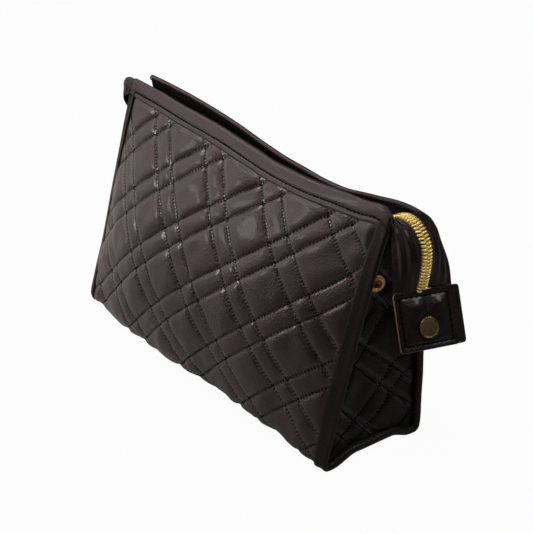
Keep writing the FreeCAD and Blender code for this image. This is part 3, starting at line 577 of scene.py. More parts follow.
def dress(piece, finish, nodes, hold):
    """Gives a piece its finish, what it stands for, and the body that carries it; a piece held by two bodies
    is only fixed where it is.
    """
    piece.data.materials.append(finish_of(finish) if isinstance(finish, str) else finish)
    if nodes:
        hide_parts(*nodes)
    if isinstance(hold, str):
        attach(piece, hold)
    else:
        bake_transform(piece)


# Where a blend between two bodies would start and end, in metres: out of the base, across an end panel and
# out along a wing.
FOOT_BEND, FOOT_BEND_RUN = 0.030, 0.014
PANEL_BEND = 0.0055, 0.0105
WING_BEND, WING_BEND_Z = (0.122, 0.134), 0.15


def wall_hold(side):
    """Leather that turns up from the base into a wall."""
    y = side * FOOT_BEND
    return "base", SIDE_NAME[side] + "_wall", (0, y, 0), (0, y + side * FOOT_BEND_RUN, FOOT_BEND_RUN)


def gusset_hold(side):
    """Leather of an end panel, from its middle fold out to a wall."""
    return "base", SIDE_NAME[side] + "_wall", *((0, side * y, 0) for y in PANEL_BEND)


def wing_hold(end):
    """Leather and zip that run out of the mouth on to a tab."""
    return "base", END_NAME[end] + "_tab", *((end * x, 0, WING_BEND_Z) for x in WING_BEND)


def leather_finish(name, colour, gloss=0.4, sheen=0.08, level=0.5, shape=None, starts=None):
    """Soft black leather with a fine grain. With starts, the quilting's creases and stitch holes too, with
    painted shade in the holes and along the creases.
    """
    m = Finish(bpy.data.materials.new(name))
    spot = m.spot()
    cloud = m.noise(spot, 28.0, 4.0)
    grain = m.cells(spot, 1150.0)
    fine = m.noise(spot, 2400.0, 2.0)
    wrinkle = m.noise(spot, 210.0, 3.0, 0.6)
    height = grain * 0.46 + fine * 0.42 + wrinkle * 0.4
    rough = gloss + (cloud - 0.5) * 0.22 + (wrinkle - 0.5) * 0.12
    pale = tuple(min(1.0, c * 1.7 + 0.001) for c in colour)
    tint = m.mix(cloud.fade(0.7, 0.35), colour, pale)
    shine = sheen
    if starts:
        x, depth = m.split(m.add("ShaderNodeUVMap", {"uv_map": "Flat"}))
        slope = shape["rise"]
        turn = math.hypot(1, slope)
        pitch, gap = shape["pitch"] * MM, shape["gap"] * MM
        lines = []
        for sign, start in zip((1, -1), starts):
            across = (x - depth * (sign / slope) - start * MM).wrapped(pitch)
            near = abs(across).least(abs(across - gap)).least(abs(across - pitch)) * (slope / turn)
            along = x * (sign / turn) + depth * (slope / turn)
            pucker = m.noise(m.vector(along * 380.0, near * 130.0, start * 0.1), 1.0, 2.0)
            height = height + (pucker - 0.5) * near.fade(0.0, 0.005) * (1.5 if sign > 0 else 0.8)
            lines.append(near)
            shine = shine + near.fade(0.001, 0.0045) * (0.34 if sign > 0 else 0.06)
            rough = rough - near.fade(0.0, 0.0045) * (0.12 if sign > 0 else 0.04)
            phase = abs((along / (shape["stitch"] * MM) - 0.36).wrapped(1.0) - 0.5)
            dash = near.fade(0.0005, 0.0013) * phase.fade(0.5, 0.15)
            height = height - dash * 1.6
            # Painted shade in the stitch holes.
            tint = m.mix(dash, tint, STITCH_HOLE_SHADE)
            rough = rough + dash * 0.4
            shine = shine * (1.0 - dash)
        # Painted shade along the creases of the quilting.
        crease_shade = lines[0].least(lines[1]).fade(0.0, 0.0022)
        tint = m.mix(crease_shade * 0.35, tint, CREASE_SHADE)
    return m.done(
        Base_Color=tint, Roughness=rough, Normal=m.bumps(height, 0.00042), Specular_IOR_Level=level,
        Specular_Tint=(1.0, 0.66, 0.68), Coat_Weight=shine, Coat_Roughness=0.16, Coat_Tint=(1.0, 0.9, 0.9),
    )


def cloth_finish(name, colour, count, depth):
    """Plain woven cloth with count threads to the metre."""
    m = Finish(bpy.data.materials.new(name))
    place = m.spot()
    inputs = {"Vector": place, "Scale": count / 6.28}
    weave = m.add("ShaderNodeTexWave", {"bands_direction": "X"}, inputs)
    cross = m.add("ShaderNodeTexWave", {"bands_direction": "DIAGONAL"}, inputs)
    slub = m.noise(place, 160.0, 3.0)
    tint = m.mix(slub.fade(0.75, 0.3), colour, tuple(c * 2.2 for c in colour))
    normal = m.bumps(weave * 0.5 + cross * 0.5 + slub * 0.4, depth)
    return m.done(Base_Color=tint, Roughness=0.75 + (slub - 0.5) * 0.2, Normal=normal, Sheen_Weight=0.3)


def metal_finish(name, colour, shade, rough, wear, scale, metallic):
    """Plated metal with a duller shade in patches and fine scratches."""
    m = Finish(bpy.data.materials.new(name))
    spot = m.spot()
    patch = m.noise(spot, scale, 5.0, 0.65)
    stretched = m.add("ShaderNodeVectorMath", {"operation": "MULTIPLY"}, {0: spot, 1: (1, 9, 3)})
    scratch = m.noise(stretched, 900.0, 2.0)
    dull = patch.fade(0.62, 0.38) * wear
    tint = m.mix(dull, colour, shade)
    normal = m.bumps(patch * 0.4 + scratch * 0.25, 0.0001, 0.5)
    roughness = rough + dull * 0.22 + (scratch - 0.5) * 0.12
    return m.done(Base_Color=tint, Roughness=roughness, Metallic=metallic, Normal=normal)


def thread_finish(name, colour):
    m = Finish(bpy.data.materials.new(name))
    twist = m.noise(m.spot(), 2600.0, 2.0)
    tint = m.mix(twist, colour, tuple(c * 2.0 for c in colour))
    normal = m.bumps(twist, 0.0001)
    return m.done(Base_Color=tint, Roughness=0.8 + twist * 0.2, Normal=normal, Specular_IOR_Level=0.04)


# The finishes that several pieces share: maker, name, colour and the maker's other values.
LEATHER, CLOTH, METAL = leather_finish, cloth_finish, metal_finish
RECIPES = {
    "smooth": (LEATHER, "smooth_leather", "leather", {"gloss": 0.44, "sheen": 0.08, "level": 0.46}),
    # The side and foot bands are the rim's leather, given the darker facing colour and less reflection as
    # painted shade.
    "band": (LEATHER, "band_leather", "facing", {"gloss": 0.42, "sheen": 0.05, "level": 0.24}),
    "facing": (LEATHER, "facing_leather", "facing", {"gloss": 0.4, "sheen": 0.12, "level": 0.24}),
    "inside": (LEATHER, "inside_leather", "facing", {"gloss": 0.8, "sheen": 0.0, "level": 0.1}),
    "edge": (LEATHER, "raw_leather_edge", "raw_edge", {"gloss": 0.7}),
    "lining": (CLOTH, "lining_cloth", "lining", {"count": 2600, "depth": 0.0002}),
    "tape": (CLOTH, "zip_tape", "tape", {"count": 3600, "depth": 0.0003}),
    "coil": (METAL, "zip_coil", "gold", {
        "shade": (0.8, 0.5, 0.12), "rough": 0.16, "wear": 0.3, "scale": 400.0, "metallic": 0.45,
    }),
    "metal": (METAL, "zip_metal", "gold", {
        "shade": (0.5, 0.3, 0.09), "rough": 0.22, "wear": 0.6, "scale": 90.0, "metallic": 1.0,
    }),
    "old_brass": (METAL, "antique_brass", "old_brass", {
        "shade": (0.09, 0.06, 0.03), "rough": 0.3, "wear": 0.9, "scale": 320.0, "metallic": 1.0,
    }),
    "brass": (METAL, "polished_brass", "brass", {
        "shade": (0.4, 0.2, 0.06), "rough": 0.3, "wear": 0.6, "scale": 300.0, "metallic": 0.6,
    }),
    "thread": (thread_finish, "sewing_thread", "thread", {}),
}
FINISHES = {}
WALLS = {}


def finish_of(name):
    """A finish that several pieces share, made once."""
    if name not in FINISHES:
        maker, title, colour, values = RECIPES[name]
        FINISHES[name] = maker(title, tuple(getattr(bpy.context.scene.case_colours, colour)), **values)
    return FINISHES[name]


def recoat(node, finish):
    """Gives a solid that is shown as it is a finish of the scene's."""
    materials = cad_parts[node].data.materials
    materials.clear()
    materials.append(finish_of(finish))


def wall_of(side):
    """The face of a long side, worked out once."""
    if side not in WALLS:
        WALLS[side] = Wall(side, shape_of())
    return WALLS[side]


class CASE_OT_quilted_sides(bpy.types.Operator):
    """Quilted leather of the two long sides and the underside, with its stitches"""

    bl_idname = "case.quilted_sides"
    bl_label = "Quilted sides"

    def execute(self, context):
        for side in (FRONT, REAR):
            self.make_side(side)
        return {"FINISHED"}

    def make_side(self, side):
        name = SIDE_NAME[side]
        wall = wall_of(side)
        shape = wall.shape
        starts = wall.starts()
        x, row = grid_of(np.linspace(-SKIN_END, SKIN_END, COLUMNS + 1), np.arange(TOP_ROW + 1.0))
        depth = depth_of(row)
        outer = wall.at(x, row, self.lift(wall, x, row, depth, starts))
        back = QUILT_BACK + 1.5 * soft_step(HALF - np.abs(x), 13, 6)
        skin = slab(name + "_quilt", outer, wall.at(x, row, back), np.dstack([x, depth]))
        tint = tuple(bpy.context.scene.case_colours.leather)
        finish = leather_finish(name + "_quilted_leather", tint, shape=shape, starts=starts)
        nodes = [name + "_panel", name + "_padding", "base_panel" if side == FRONT else "base_padding"]
        dress(skin, finish, nodes, wall_hold(side))

        def inside(x, depth):
            return (np.abs(x) < HALF - 8.5) & (depth > 11.5)

        places = stitch_ends(starts, shape, 8, DROP + FOOT_ROWS - 1, inside)
        x, depth = np.moveaxis(places, -1, 0)
        row = row_of(depth)
        ends = wall.at(x, row, self.lift(wall, x, row, depth, starts) + 0.05)
        up = wall.out(x[:, 0], row[:, 0])
        sew(name + "_quilt_stitches", ends, up, wall_hold(side))

    def lift(self, wall, x, row, depth, starts):
        """How far the quilted leather stands off the smooth face."""
        shape = wall.shape
        high = quilted(x, depth, starts, shape)
        places = x, depth, 0
        slack = 0.5 * ripple(places, 31, 1 + wall.side) + 0.6 * ripple(places, 12, 4 + wall.side)
        high = high * (1 + 0.35 * slack) + 0.5 * slack
        on_wall = soft_step(row, FOOT_ROWS - 12, FOOT_ROWS + 12)
        high = high - shape["puff"] * (1.45 - 1.05 * on_wall)
        band = SIDE_SECTION[0][0] * np.where(x < 0, BAND_SHARE[LEFT], BAND_SHARE[RIGHT])
        held = soft_step(HALF - np.abs(x), band + 3.0, band) + soft_step(depth, 13, 9.5)
        held = np.clip(held, 0, 1)
        return high * (1 - held) + 0.1 * held


# A bound edge seen along it: distance in from the end, height above the leather.
SIDE_SECTION = (
    (8.6, -1.2), (8.5, 0.4), (8.0, 1.0), (7.0, 1.2), (4.5, 1.1), (2.2, 1.3), (0.9, 1.7), (0.0, 1.6),
    (-0.8, 0.9), (-0.9, -0.3), (-0.8, -1.3), (-0.4, -2.2), (0.6, -2.9), (3.0, -3.2), (6.5, -3.1), (7.6, -2.8),
    (7.6, -2.3), (1.6, -2.1),
)
# The same for the rim of the mouth: depth below the rim, height above the leather.
RIM_SECTION = (
    (9.9, -0.9), (10.0, 0.2), (9.5, 0.75), (8.6, 0.85), (7.5, 0.75), (6.95, 0.4), (6.55, 0.35), (6.0, 0.7),
    (5.0, 0.95), (3.2, 0.95), (1.6, 0.9), (0.2, 0.75), (-0.8, 0.2), (-1.2, -0.7), (-1.1, -1.7), (-0.5, -2.6),
    (0.4, -2.9), (1.4, -2.9), (1.6, -2.4), (1.2, -1.9),
)
# Where each rim starts at the left end, counted in from the end.
RIM_START = {FRONT: 0.2, REAR: -2.6}
# Depth of the rim's seam and spacing of its stitches.
RIM_SEAM, RIM_STITCH = 6.75, 3.0
# How wide the side bands are at each end, as a share of SIDE_SECTION.
BAND_SHARE = {LEFT: 0.55, RIGHT: 0.88}


class CASE_OT_bindings(bpy.types.Operator):
    """Folded leather that binds the rim and the four corners of the case"""

    bl_idname = "case.bindings"
    bl_label = "Bindings"

    def execute(self, context):
        bend = np.arange(FOOT_ROWS - 10, FOOT_ROWS + 20)
        rows = np.concatenate([bend, np.linspace(FOOT_ROWS + 20, row_of(7), 70)])
        foot_rows = np.arange(FOOT_ROWS - 9)
        for side in (FRONT, REAR):
            wall = wall_of(side)
            self.rim(wall)
            for end in (LEFT, RIGHT):
                name = f"{SIDE_NAME[side]}_{END_NAME[end]}"
                loops = self.edge(wall, end, rows)
                # The side bands take the darker band finish: painted shade.
                self.bind(name + "_edge", loops, "band", name + "_binding", wall_hold(side))
        for end, name in END_NAME.items():
            front, rear = (self.edge(wall_of(side), end, foot_rows) for side in (FRONT, REAR))
            loops = np.concatenate([front[:0:-1], rear])
            # The foot bands take the darker band finish too: painted shade.
            self.bind(name + "_foot_edge", loops, "band", name + "_base_binding", "base")
        return {"FINISHED"}

    def bind(self, name, loops, finish, node, hold):
        dress(sleeve(name, loops), finish, [node], hold)

    def edge(self, wall, end, rows):
        """Loops of the band round one end of a side."""
        section = np.array(SIDE_SECTION)
        inwards = section[:, 0] * np.where(section[:, 0] > 0, BAND_SHARE[end], 1.0)
        x = end * (HALF - inwards)[None] + 0 * rows[:, None]
        sway = ripple((rows, 0, end), 24, 9 + wall.side)
        flatten = soft_step(rows, FOOT_ROWS + 5, FOOT_ROWS - 10)[:, None]
        lift = section[:, 1][None] + 0.45 * sway[:, None] - flatten * 1.7
        return wall.at(x, rows[:, None], lift)

    def rim(self, wall):
        """The bound rim of one side and the stitches along its seam."""
        name = SIDE_NAME[wall.side]
        body = name + "_wall"
        section = np.array(RIM_SECTION)
        x = np.linspace(-HALF + RIM_START[wall.side], HALF - 0.2, 160)
        sway = ripple((x, 0, 0), 19, 2 + wall.side)[:, None]
        depth = section[:, 0][None] + 0.35 * sway
        lift = section[:, 1][None] * (1 + 0.12 * sway)
        loops = wall.at(x[:, None], TOP_ROW - depth * WALL_ROWS / DROP, lift)
        self.bind(name + "_rim", loops, "smooth", name + "_top_binding", body)
        starts = np.arange(-HALF + 4, HALF - 6, RIM_STITCH)
        x = np.stack([starts, starts + RIM_STITCH * 0.7], 1)
        row = TOP_ROW - RIM_SEAM * WALL_ROWS / DROP + 0 * x
        up = wall.out(x[:, 0], row[:, 0])
        sew(name + "_rim_stitches", wall.at(x, row, 0.55), up, body)


# How deep each end panel is folded in, and how far in from the end and the leather's face its edges are.
FOLDS = {LEFT: 8.6, RIGHT: 10.5}
PANEL_IN, PANEL_SUNK = 2.2, -2.8
# First and last row of an end panel, and depth of the flat place for its socket.
PANEL_ROWS = FOOT_ROWS + 1, float(row_of(17))
SOCKET_DEPTH = 47
# Where the falling and the rising quilting lines of an end panel start.
PANEL_STARTS = -4.0, 9.0
# Height of a panel's inner face and of the two faces of its lining.
PANEL_BACK, PANEL_LINING, PANEL_LINING_BACK = -1.6, -1.8, -2.3


class CASE_OT_end_panels(bpy.types.Operator):
    """Quilted end panels, folded in, and their linings"""

    bl_idname = "case.end_panels"
    bl_label = "End panels"

    def execute(self, context):
        # The end panels take the sides' leather at half its colour and with little reflection: painted shade.
        tint = tuple(0.5 * c for c in context.scene.case_colours.leather)
        pattern = {"shape": shape_of(), "starts": PANEL_STARTS}
        finish = leather_finish("end_quilted_leather", tint, sheen=0.02, level=0.12, **pattern)
        for end in (LEFT, RIGHT):
            for side in (FRONT, REAR):
                self.half(end, side, finish)
        return {"FINISHED"}

    def skin(self, end, across, row, lift):
        """Points of an end panel: across from -1 at the front edge to 1 at the rear one."""
        x = end * (HALF - PANEL_IN)
        front, rear = (wall_of(side).at(x, row, PANEL_SUNK) for side in (FRONT, REAR))
        share = ((across + 1) / 2)[..., None]
        points = front * (1 - share) + rear * share
        z = points[..., 2]
        fold = FOLDS[end] * soft_step(z, -6, 104) * soft_step(1 - np.abs(across), 0, 0.66)
        swell = 3.2 * soft_step(z, 2, 30) * soft_step(z, 95, 45) * soft_step(1 - np.abs(across), 0, 0.8)
        points[..., 0] += end * (lift - fold + swell)
        return points

    def half(self, end, side, finish):
        """The quilt, lining and stitches of one half of an end panel."""
        name = f"{END_NAME[end]}_end_{SIDE_NAME[side]}"
        shape = shape_of()
        rows, across = grid_of(np.linspace(*PANEL_ROWS, 120), np.linspace(0, side, 46))

        def pattern(across, rows):
            plain = self.skin(end, across, rows, 0)
            return plain[..., 1], DROP - plain[..., 2]

        def height(across, rows):
            y, depth = pattern(across, rows)
            high = quilted(y, depth, PANEL_STARTS, shape) - 0.5 * shape["puff"]
            slack = ripple((y, depth, 0), 22, 6 + end)
            held = soft_step(np.abs(across), 0.8, 0.97)
            flat_middle = soft_step(np.hypot(y, depth - SOCKET_DEPTH), 9, 5)
            low = soft_step(depth, DROP - 70, DROP - 25)
            crumple = low * ripple((y, 1.5 * depth, 0), 12, 8 + end)
            return (high + 0.9 * slack + 0.9 * crumple) * (1 - np.maximum(held, flat_middle))

        def layer(lift):
            return self.skin(end, across, rows, lift)

        flat = np.dstack(pattern(across, rows))
        panel = slab(name, layer(height(across, rows)), layer(PANEL_BACK), flat)
        node = END_NAME[end] + "_gusset"
        dress(panel, finish, [node] if side == FRONT else [], gusset_hold(side))
        cloth = layer(PANEL_LINING)
        lining = slab(name + "_lining", cloth[::4, ::4], layer(PANEL_LINING_BACK)[::4, ::4])
        nodes = [node + "_lining"] if side == FRONT else []
        dress(lining, "lining", nodes, gusset_hold(side))
        self.stitch(end, side, height, name)

    def stitch(self, end, side, height, name):
        rows = np.linspace(*PANEL_ROWS, 200)
        edge = self.skin(end, side + 0 * rows, rows, 0)
        levels, widths = edge[:, 2], edge[:, 1] * side

        def inside(y, depth):
            z = DROP - depth
            reach = np.interp(z, levels, widths) - 3.5
            away = np.hypot(y, depth - SOCKET_DEPTH) > 6.5
            return (y * side > 0.3) & (y * side < reach) & (z > 6) & (z < levels[-1] - 2) & away

        places = stitch_ends(PANEL_STARTS, shape_of(), 10, DROP, inside)
        y, depth = np.moveaxis(places, -1, 0)
        row = np.interp(DROP - depth, levels, rows)
        across = np.clip(y / np.interp(DROP - depth, levels, widths), -1, 1)
        ends = self.skin(end, across, row, height(across, row) + 0.1)
        up = np.array([float(end), 0, 0])
        sew(name + "_stitches", ends, up, gusset_hold(side))


# Height of the two faces of the lining, from the face of the leather.
LINING, LINING_BACK = -4.3, -4.8


class CASE_OT_linings(bpy.types.Operator):
    """Woven lining behind the long sides and over the bottom"""

    bl_idname = "case.linings"
    bl_label = "Linings"

    def execute(self, context):
        for side, name in SIDE_NAME.items():
            wall = wall_of(side)
            x, row = grid_of(np.linspace(-HALF + 6, HALF - 6, 64), np.linspace(0, row_of(11), 60))
            slack = np.abs(0.5 * ripple((x, row, 0), 26, 12 + side))
            faces = (wall.at(x, row, lift - slack) for lift in (LINING, LINING_BACK))
            piece = slab(name + "_inner_cloth", *faces)
            nodes = [name + "_lining"] + (["base_lining"] if side == FRONT else [])
            dress(piece, "lining", nodes, wall_hold(side))
            wall.at(x, row, LINING)
        return {"FINISHED"}


# One loop of the coil: along the zip in half pitches, across from the middle, height above the tape.
COIL_LOOP = (
    (-0.30, 2.85, 0.15), (-0.42, 3.3, 0.85), (-0.28, 2.9, 1.5), (0.0, 1.85, 1.8), (0.2, 0.8, 1.5),
    (0.35, 0.1, 0.8), (0.4, -0.1, 0.4),
)
# Thickness along the loop, as a share of the wire's.
COIL_RINGS = 0.8, 1.0, 1.0, 1.0, 1.0, 1.0, 0.8
TAPE_THICK = 0.6
FACING_HALF_THICK = 0.55
# How far below its rim and in from its middle each facing starts.
FACING_DROP = {FRONT: 3.0, REAR: 0.9}
FACING_TUCK = {FRONT: 1.6, REAR: 2.3}


def coil_paths(path, normals, side, shape):
    """Loops of one row of a zip along a path of points half a pitch apart."""
    along = unit(np.gradient(path, axis=0))
    across = np.cross(normals, along) * side
    loop = np.array(COIL_LOOP) * (shape["coil_pitch"] / 2, 1, 1)
    picked = slice(0 if side == FRONT else 1, None, 2)
    axes = np.stack([along, across, normals], 1)[picked]
    return path[picked, None] + np.einsum("kl,nlm->nkm", loop, axes)


def make_coil(name, loops, nodes, hold):
    radii = np.array(COIL_RINGS) * shape_of()["coil_wire"] / 2
    dress(rods(name, loops, radii), "coil", nodes, hold)


def make_tape(name, grid, back, node, hold):
    """Zip tape on a grid of points, back being the direction of its thickness."""
    tape = slab(name, grid, grid - TAPE_THICK * back)
    dress(tape, "tape", [node], hold)


def leaning(points):
    """Points of the left wing, leaning down towards the rear."""
    lean = soft_step(-points[..., 0], 112, 126) * LEFT_WING_SLOPE * (points[..., 1] + LEFT_WING_HALF)
    return points - lean[..., None] * UP


class CASE_OT_zip(bpy.types.Operator):
    """Zip in the mouth: facings, tapes, coils, slider and pull"""

    bl_idname = "case.zip"
    bl_label = "Zip"

    def execute(self, context):
        for side in (FRONT, REAR):
            self.facing(side)
            self.row(side)
        for end in (LEFT, RIGHT):
            self.tape_end(end)
        for node in ("zip_slider", "zip_slider_bail", "zip_pull"):
            recoat(node, "metal")
        return {"FINISHED"}

    def facing(self, side):
        """Leather that hangs from the rim and turns under the edge of the tape."""
        name = SIDE_NAME[side]
        drop, tuck = FACING_DROP[side], FACING_TUCK[side]
        x = np.linspace(-HALF + 3, HALF - 3, 120)
        rim_y, rim_z = rim_line(side, x)
        fold = 0.5 * ripple((x, 0, 0), 17, 15 + side)
        guide = (
            (rim_y - side * tuck, rim_z - drop),
            (rim_y - side * (tuck + 0.3), rim_z - drop - 1.5),
            (side * (np.abs(rim_y) * 0.5 + 2.0) + fold, 0.5 * (rim_z + ZIP_Z) + 1.0),
            (side * 7.2 + 0.5 * fold, ZIP_Z + 2.2),
            (side * 7.4, ZIP_Z + 0.9),
            (side * 5.6, ZIP_Z + 0.3),
        )
        line = np.stack([np.stack(np.broadcast_arrays(x, y, z), 1) for y, z in guide], 1)
        normals = grid_normals(line) * side
        turned_away = normals[..., 2:] - normals[..., 1:2] * side < 0
        thick = FACING_HALF_THICK * np.where(turned_away, -normals, normals)
        piece = slab(name + "_inner_facing", line + thick, line - thick)
        subdivide(piece)
        dress(piece, "inside", [name + "_facing"], name + "_wall")

    def row(self, side):
        """The tape and the coil of one side."""
        name = SIDE_NAME[side]
        body = name + "_wall"
        low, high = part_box(name + "_zip_tape")
        x, y = grid_of(np.linspace(low.x / MM, high.x / MM, 100), side * np.linspace(1.0, 8.6, 6))
        grid = np.dstack([x, y, ZIP_Z - 0.04 * (np.abs(y) - 4) ** 2])
        make_tape(name + "_woven_tape", grid, UP, name + "_zip_tape", body)

        shape = shape_of()
        start, stop = (corner.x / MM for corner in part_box(name + "_zip_teeth"))
        x = np.arange(start, stop, shape["coil_pitch"] / 2)
        path = np.stack([x, 0 * x, 0 * x + ZIP_Z], 1)
        loops = coil_paths(path, np.tile(UP, (len(x), 1)), side, shape)
        make_coil(name + "_coil", loops, [name + "_zip_teeth"], body)

    def tape_end(self, end):
        """The tape that rises from an end of the zip to its wing."""
        name = END_NAME[end]
        low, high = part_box(name + "_zip_end_tape")
        start, stop = (low.x / MM, high.x / MM)[::end]
        share, y = grid_of(np.linspace(0, 1, 14), np.linspace(-4.2, 4.2, 7))
        rise = soft_step(share, 0.0, 1.15) / soft_step(1.0, 0.0, 1.15)
        grid = np.dstack([start + (stop - start) * share, y, ZIP_Z + (high.z / MM - ZIP_Z) * rise])
        if end == LEFT:
            grid = leaning(grid)
        make_tape(name + "_tape_end", grid, UP, name + "_zip_end_tape", "base")


def subdivide(piece):
    """Smooths a piece's form for good."""
    modifier = piece.modifiers.new("Smooth", "SUBSURF")
    modifier.levels = 1
    modifier.render_levels = 1
    with bpy.context.temp_override(object=piece, active_object=piece):
        bpy.ops.object.modifier_apply(modifier="Smooth")


# The upper face of each wing's tape in the plane of the zip: distance out from the middle, height.
WING_KNOTS = {
    RIGHT: (
        (108, 142.2), (113, 146.2), (119, 151.0), (125, 154.6), (130.6, 156.2), (135.2, 156.0), (140, 153.9),
        (144.2, 150.0), (147.0, 144.6), (147.9, 136.4), (147.4, 128.0), (146.4, 120.2),
    ),
    LEFT: (
        (108, 142.2), (115, 146.8), (121, 151.6), (125.5, 154.9), (130.5, 155.3), (135.0, 154.0),
        (136.9, 151.6), (137.2, 146.8), (137.4, 142.4), (136.8, 139.4), (134.1, 136.8), (129.0, 134.4),
        (121.6, 130.8), (119.3, 128.4), (119.0, 126.5),
    ),
}
# The middle of the right wing drifts this far to the front on its way to the tab.
WING_DRIFT = 2.6
# The outer edges of the right wing: along, across, height.
WING_EDGES = {
    FRONT: (
        (124.2, -7.4, 156.6), (126.2, -9.2, 154.2), (131.5, -12.7, 143.2), (137.2, -16.4, 131.6),
        (142.6, -19.8, 120.6),
    ),
    REAR: (
        (124.0, 16.0, 152.9), (129.2, 17.3, 150.8), (133.4, 18.0, 146.6), (137.7, 18.0, 140.4),
        (146.0, 17.5, 130.6), (150.8, 17.0, 119.4),
    ),
}
# Points along a wing, the first of them that carries leather, and where that leather meets the tape.
WING_POINTS, WING_BEGIN, WING_INNER = 80, 16, 4.6
WING_TAPE_HALF = 5.2
# The left wing: half width, how far its borders turn in, and its slope down to the rear.
LEFT_WING_HALF, LEFT_WING_TURN, LEFT_WING_SLOPE = 7.8, 7.5, 0.62


def wing_path(end, count):
    """Points evenly along the middle of a wing, from inside the mouth to its tab, and their normals."""
    fine = curve_through(WING_KNOTS[end], np.linspace(0, 1, 400))
    steps = distances(fine)
    at = np.linspace(0, steps[-1], count)
    x, z = (np.interp(at, steps, column) for column in fine.T)
    drift = -WING_DRIFT * soft_step(at / steps[-1], 0.1, 0.55) if end == RIGHT else 0 * at
    path = np.stack([end * x, drift, z], 1)
    tangent = unit(np.gradient(path, axis=0))
    normal = unit(np.stack([-tangent[:, 2] * end, 0 * x, tangent[:, 0] * end], 1))
    return path, normal, steps[-1]


class CASE_OT_wings(bpy.types.Operator):
    """Ends of the zip that run over the case to the tabs"""

    bl_idname = "case.wings"
    bl_label = "Wings"

    def execute(self, context):
        y = np.linspace(-1, 1, 9)
        for end, name in END_NAME.items():
            path, normal, _ = wing_path(end, WING_POINTS)
            normal = normal[:, None]
            sag = -0.25 * (y * y)[:, None] * normal
            grid = path[:, None] + np.dstack([0 * y, WING_TAPE_HALF * y, 0 * y]) + sag
            if end == LEFT:
                grid = leaning(grid)
            make_tape(name + "_wing_zip_tape", grid, normal, name + "_wing_tape", wing_hold(end))
            for side in (FRONT, REAR):
                self.facing(end, side, path[WING_BEGIN:], normal[WING_BEGIN:, 0])
        self.coil()
        return {"FINISHED"}

    def facing(self, end, side, path, normal):
        """A leather strip from the tape out to the edge of the wing, with folds along it."""
        share = np.linspace(0, 1, WING_POINTS)[WING_BEGIN:]
        t = np.linspace(0, 1, 25)
        start = path + np.array([0, side * WING_INNER, 0]) + 0.5 * normal
        if end == RIGHT:
            edge = curve_through(WING_EDGES[side], (share - share[0]) / (1 - share[0]))
            reach = t[:, None]
        else:
            edge = path + np.array([0, side * LEFT_WING_HALF, 0]) + 0.5 * normal
            reach = np.minimum(t / 0.45, 1)[:, None]
        normal = normal[:, None]
        points = start[:, None] * (1 - reach) + edge[:, None] * reach
        if end == LEFT:
            turn = LEFT_WING_TURN * (1 - 0.8 * soft_step(share, 0.56, 0.66))
            points = leaning(points - (turn[:, None] * soft_step(t, 0.3, 1.0))[..., None] * normal)
        surface = grid_normals(points)
        facing_out = np.sum(surface * normal, -1, keepdims=True)
        surface = surface * np.where(facing_out < 0, -1, 1)
        pleat = np.abs(np.mod(t * 3.0 + 0.1, 1.0) - 0.5) * 4 - 1
        strength = (0.35 + 0.65 * np.sin(math.pi * share))[:, None]
        folds = 0.7 * pleat * strength * soft_step(t, 0.0, 0.15)
        crumple = 0.4 * ripple(np.moveaxis(points, -1, 0), 9, 20 + side + 2 * end)
        lift = np.sin(math.pi * t) + folds + crumple
        lift = lift * soft_step(share, 0.1, 0.35)[:, None] * (1.0 if end == RIGHT else 0.35)
        points = points + surface * lift[..., None]
        thick = FACING_HALF_THICK * surface
        name = f"{END_NAME[end]}_wing_{SIDE_NAME[side]}"
        piece = slab(name + "_leather", points + thick, points - thick)
        dress(piece, "facing", [name + "_facing"], wing_hold(end))

    def coil(self):
        """The two rows of coil on the right wing."""
        shape = shape_of()
        _, _, length = wing_path(RIGHT, WING_POINTS)
        path, normal, _ = wing_path(RIGHT, int(length / (shape["coil_pitch"] / 2)))
        loops = np.concatenate([coil_paths(path, normal, side, shape) for side in (FRONT, REAR)])
        nodes = ["right_wing_coil", "right_zip_end_coil"]
        make_coil("right_wing_gold_coil", loops, nodes, wing_hold(RIGHT))


# Each tab: its length, width and corners, how far down its cap sits and how far in its seam runs.
TAB_LENGTH, TAB_WIDTH, TAB_CORNER, SNAP_DROP, TAB_SEAM = 33.0, 37.0, 2.0, 21.0, 3.2
# Height of a tab's outer face, of the two faces that meet inside it and of its inner face.
TAB_OUTER, TAB_MEET, TAB_INNER = 1.45, 0.05, -1.35
# Middle of each tab's top edge, and its directions down and across.
TABS = {
    RIGHT: {"top": (147.56, -0.1, 120.1), "down": (0.463, -0.126, -0.877), "across": (0.239, 0.971, -0.014)},
    LEFT: {"top": (-119.0, 0.0, 127.5), "down": (0.0, 0.0, -1.0), "across": (0.0, 1.0, 0.0)},
}
# How far each leather of a tab is set across from its middle.
TAB_SHIFT = {(RIGHT, "front"): -2.2, (RIGHT, "back"): 3.3, (LEFT, "front"): 0.0, (LEFT, "back"): 0.0}
# The left tab is bent round the end fold: angle of the bend, and where across the tab it starts and ends.
WRAP, WRAP_FROM, WRAP_TO = math.radians(55), 5.0, 10.0


def tab_axes(end):
    """Middle of a tab's top edge, and its directions down, across and out."""
    top, down, across = (np.array(TABS[end][name]) for name in ("top", "down", "across"))
    down = unit(down)
    across = unit(across - down * (across @ down))
    out = np.cross(across, down)
    return top, down, across, out * np.sign(out[0]) * end


def wrapped(x, lift):
    """Across and out for a place on the bent left tab, raised by lift."""
    step = 0.1
    fine = np.arange(241) * step
    angle = WRAP * soft_step(fine, WRAP_FROM, WRAP_TO)
    run, rise = (np.concatenate([[0], np.cumsum(part(angle[:-1]) * step)]) for part in (np.cos, np.sin))
    size = np.abs(x)
    lean = np.interp(size, fine, angle)
    across = np.interp(size, fine, run) - lift * np.sin(lean)
    return np.sign(x) * across, np.interp(size, fine, rise) + lift * np.cos(lean)


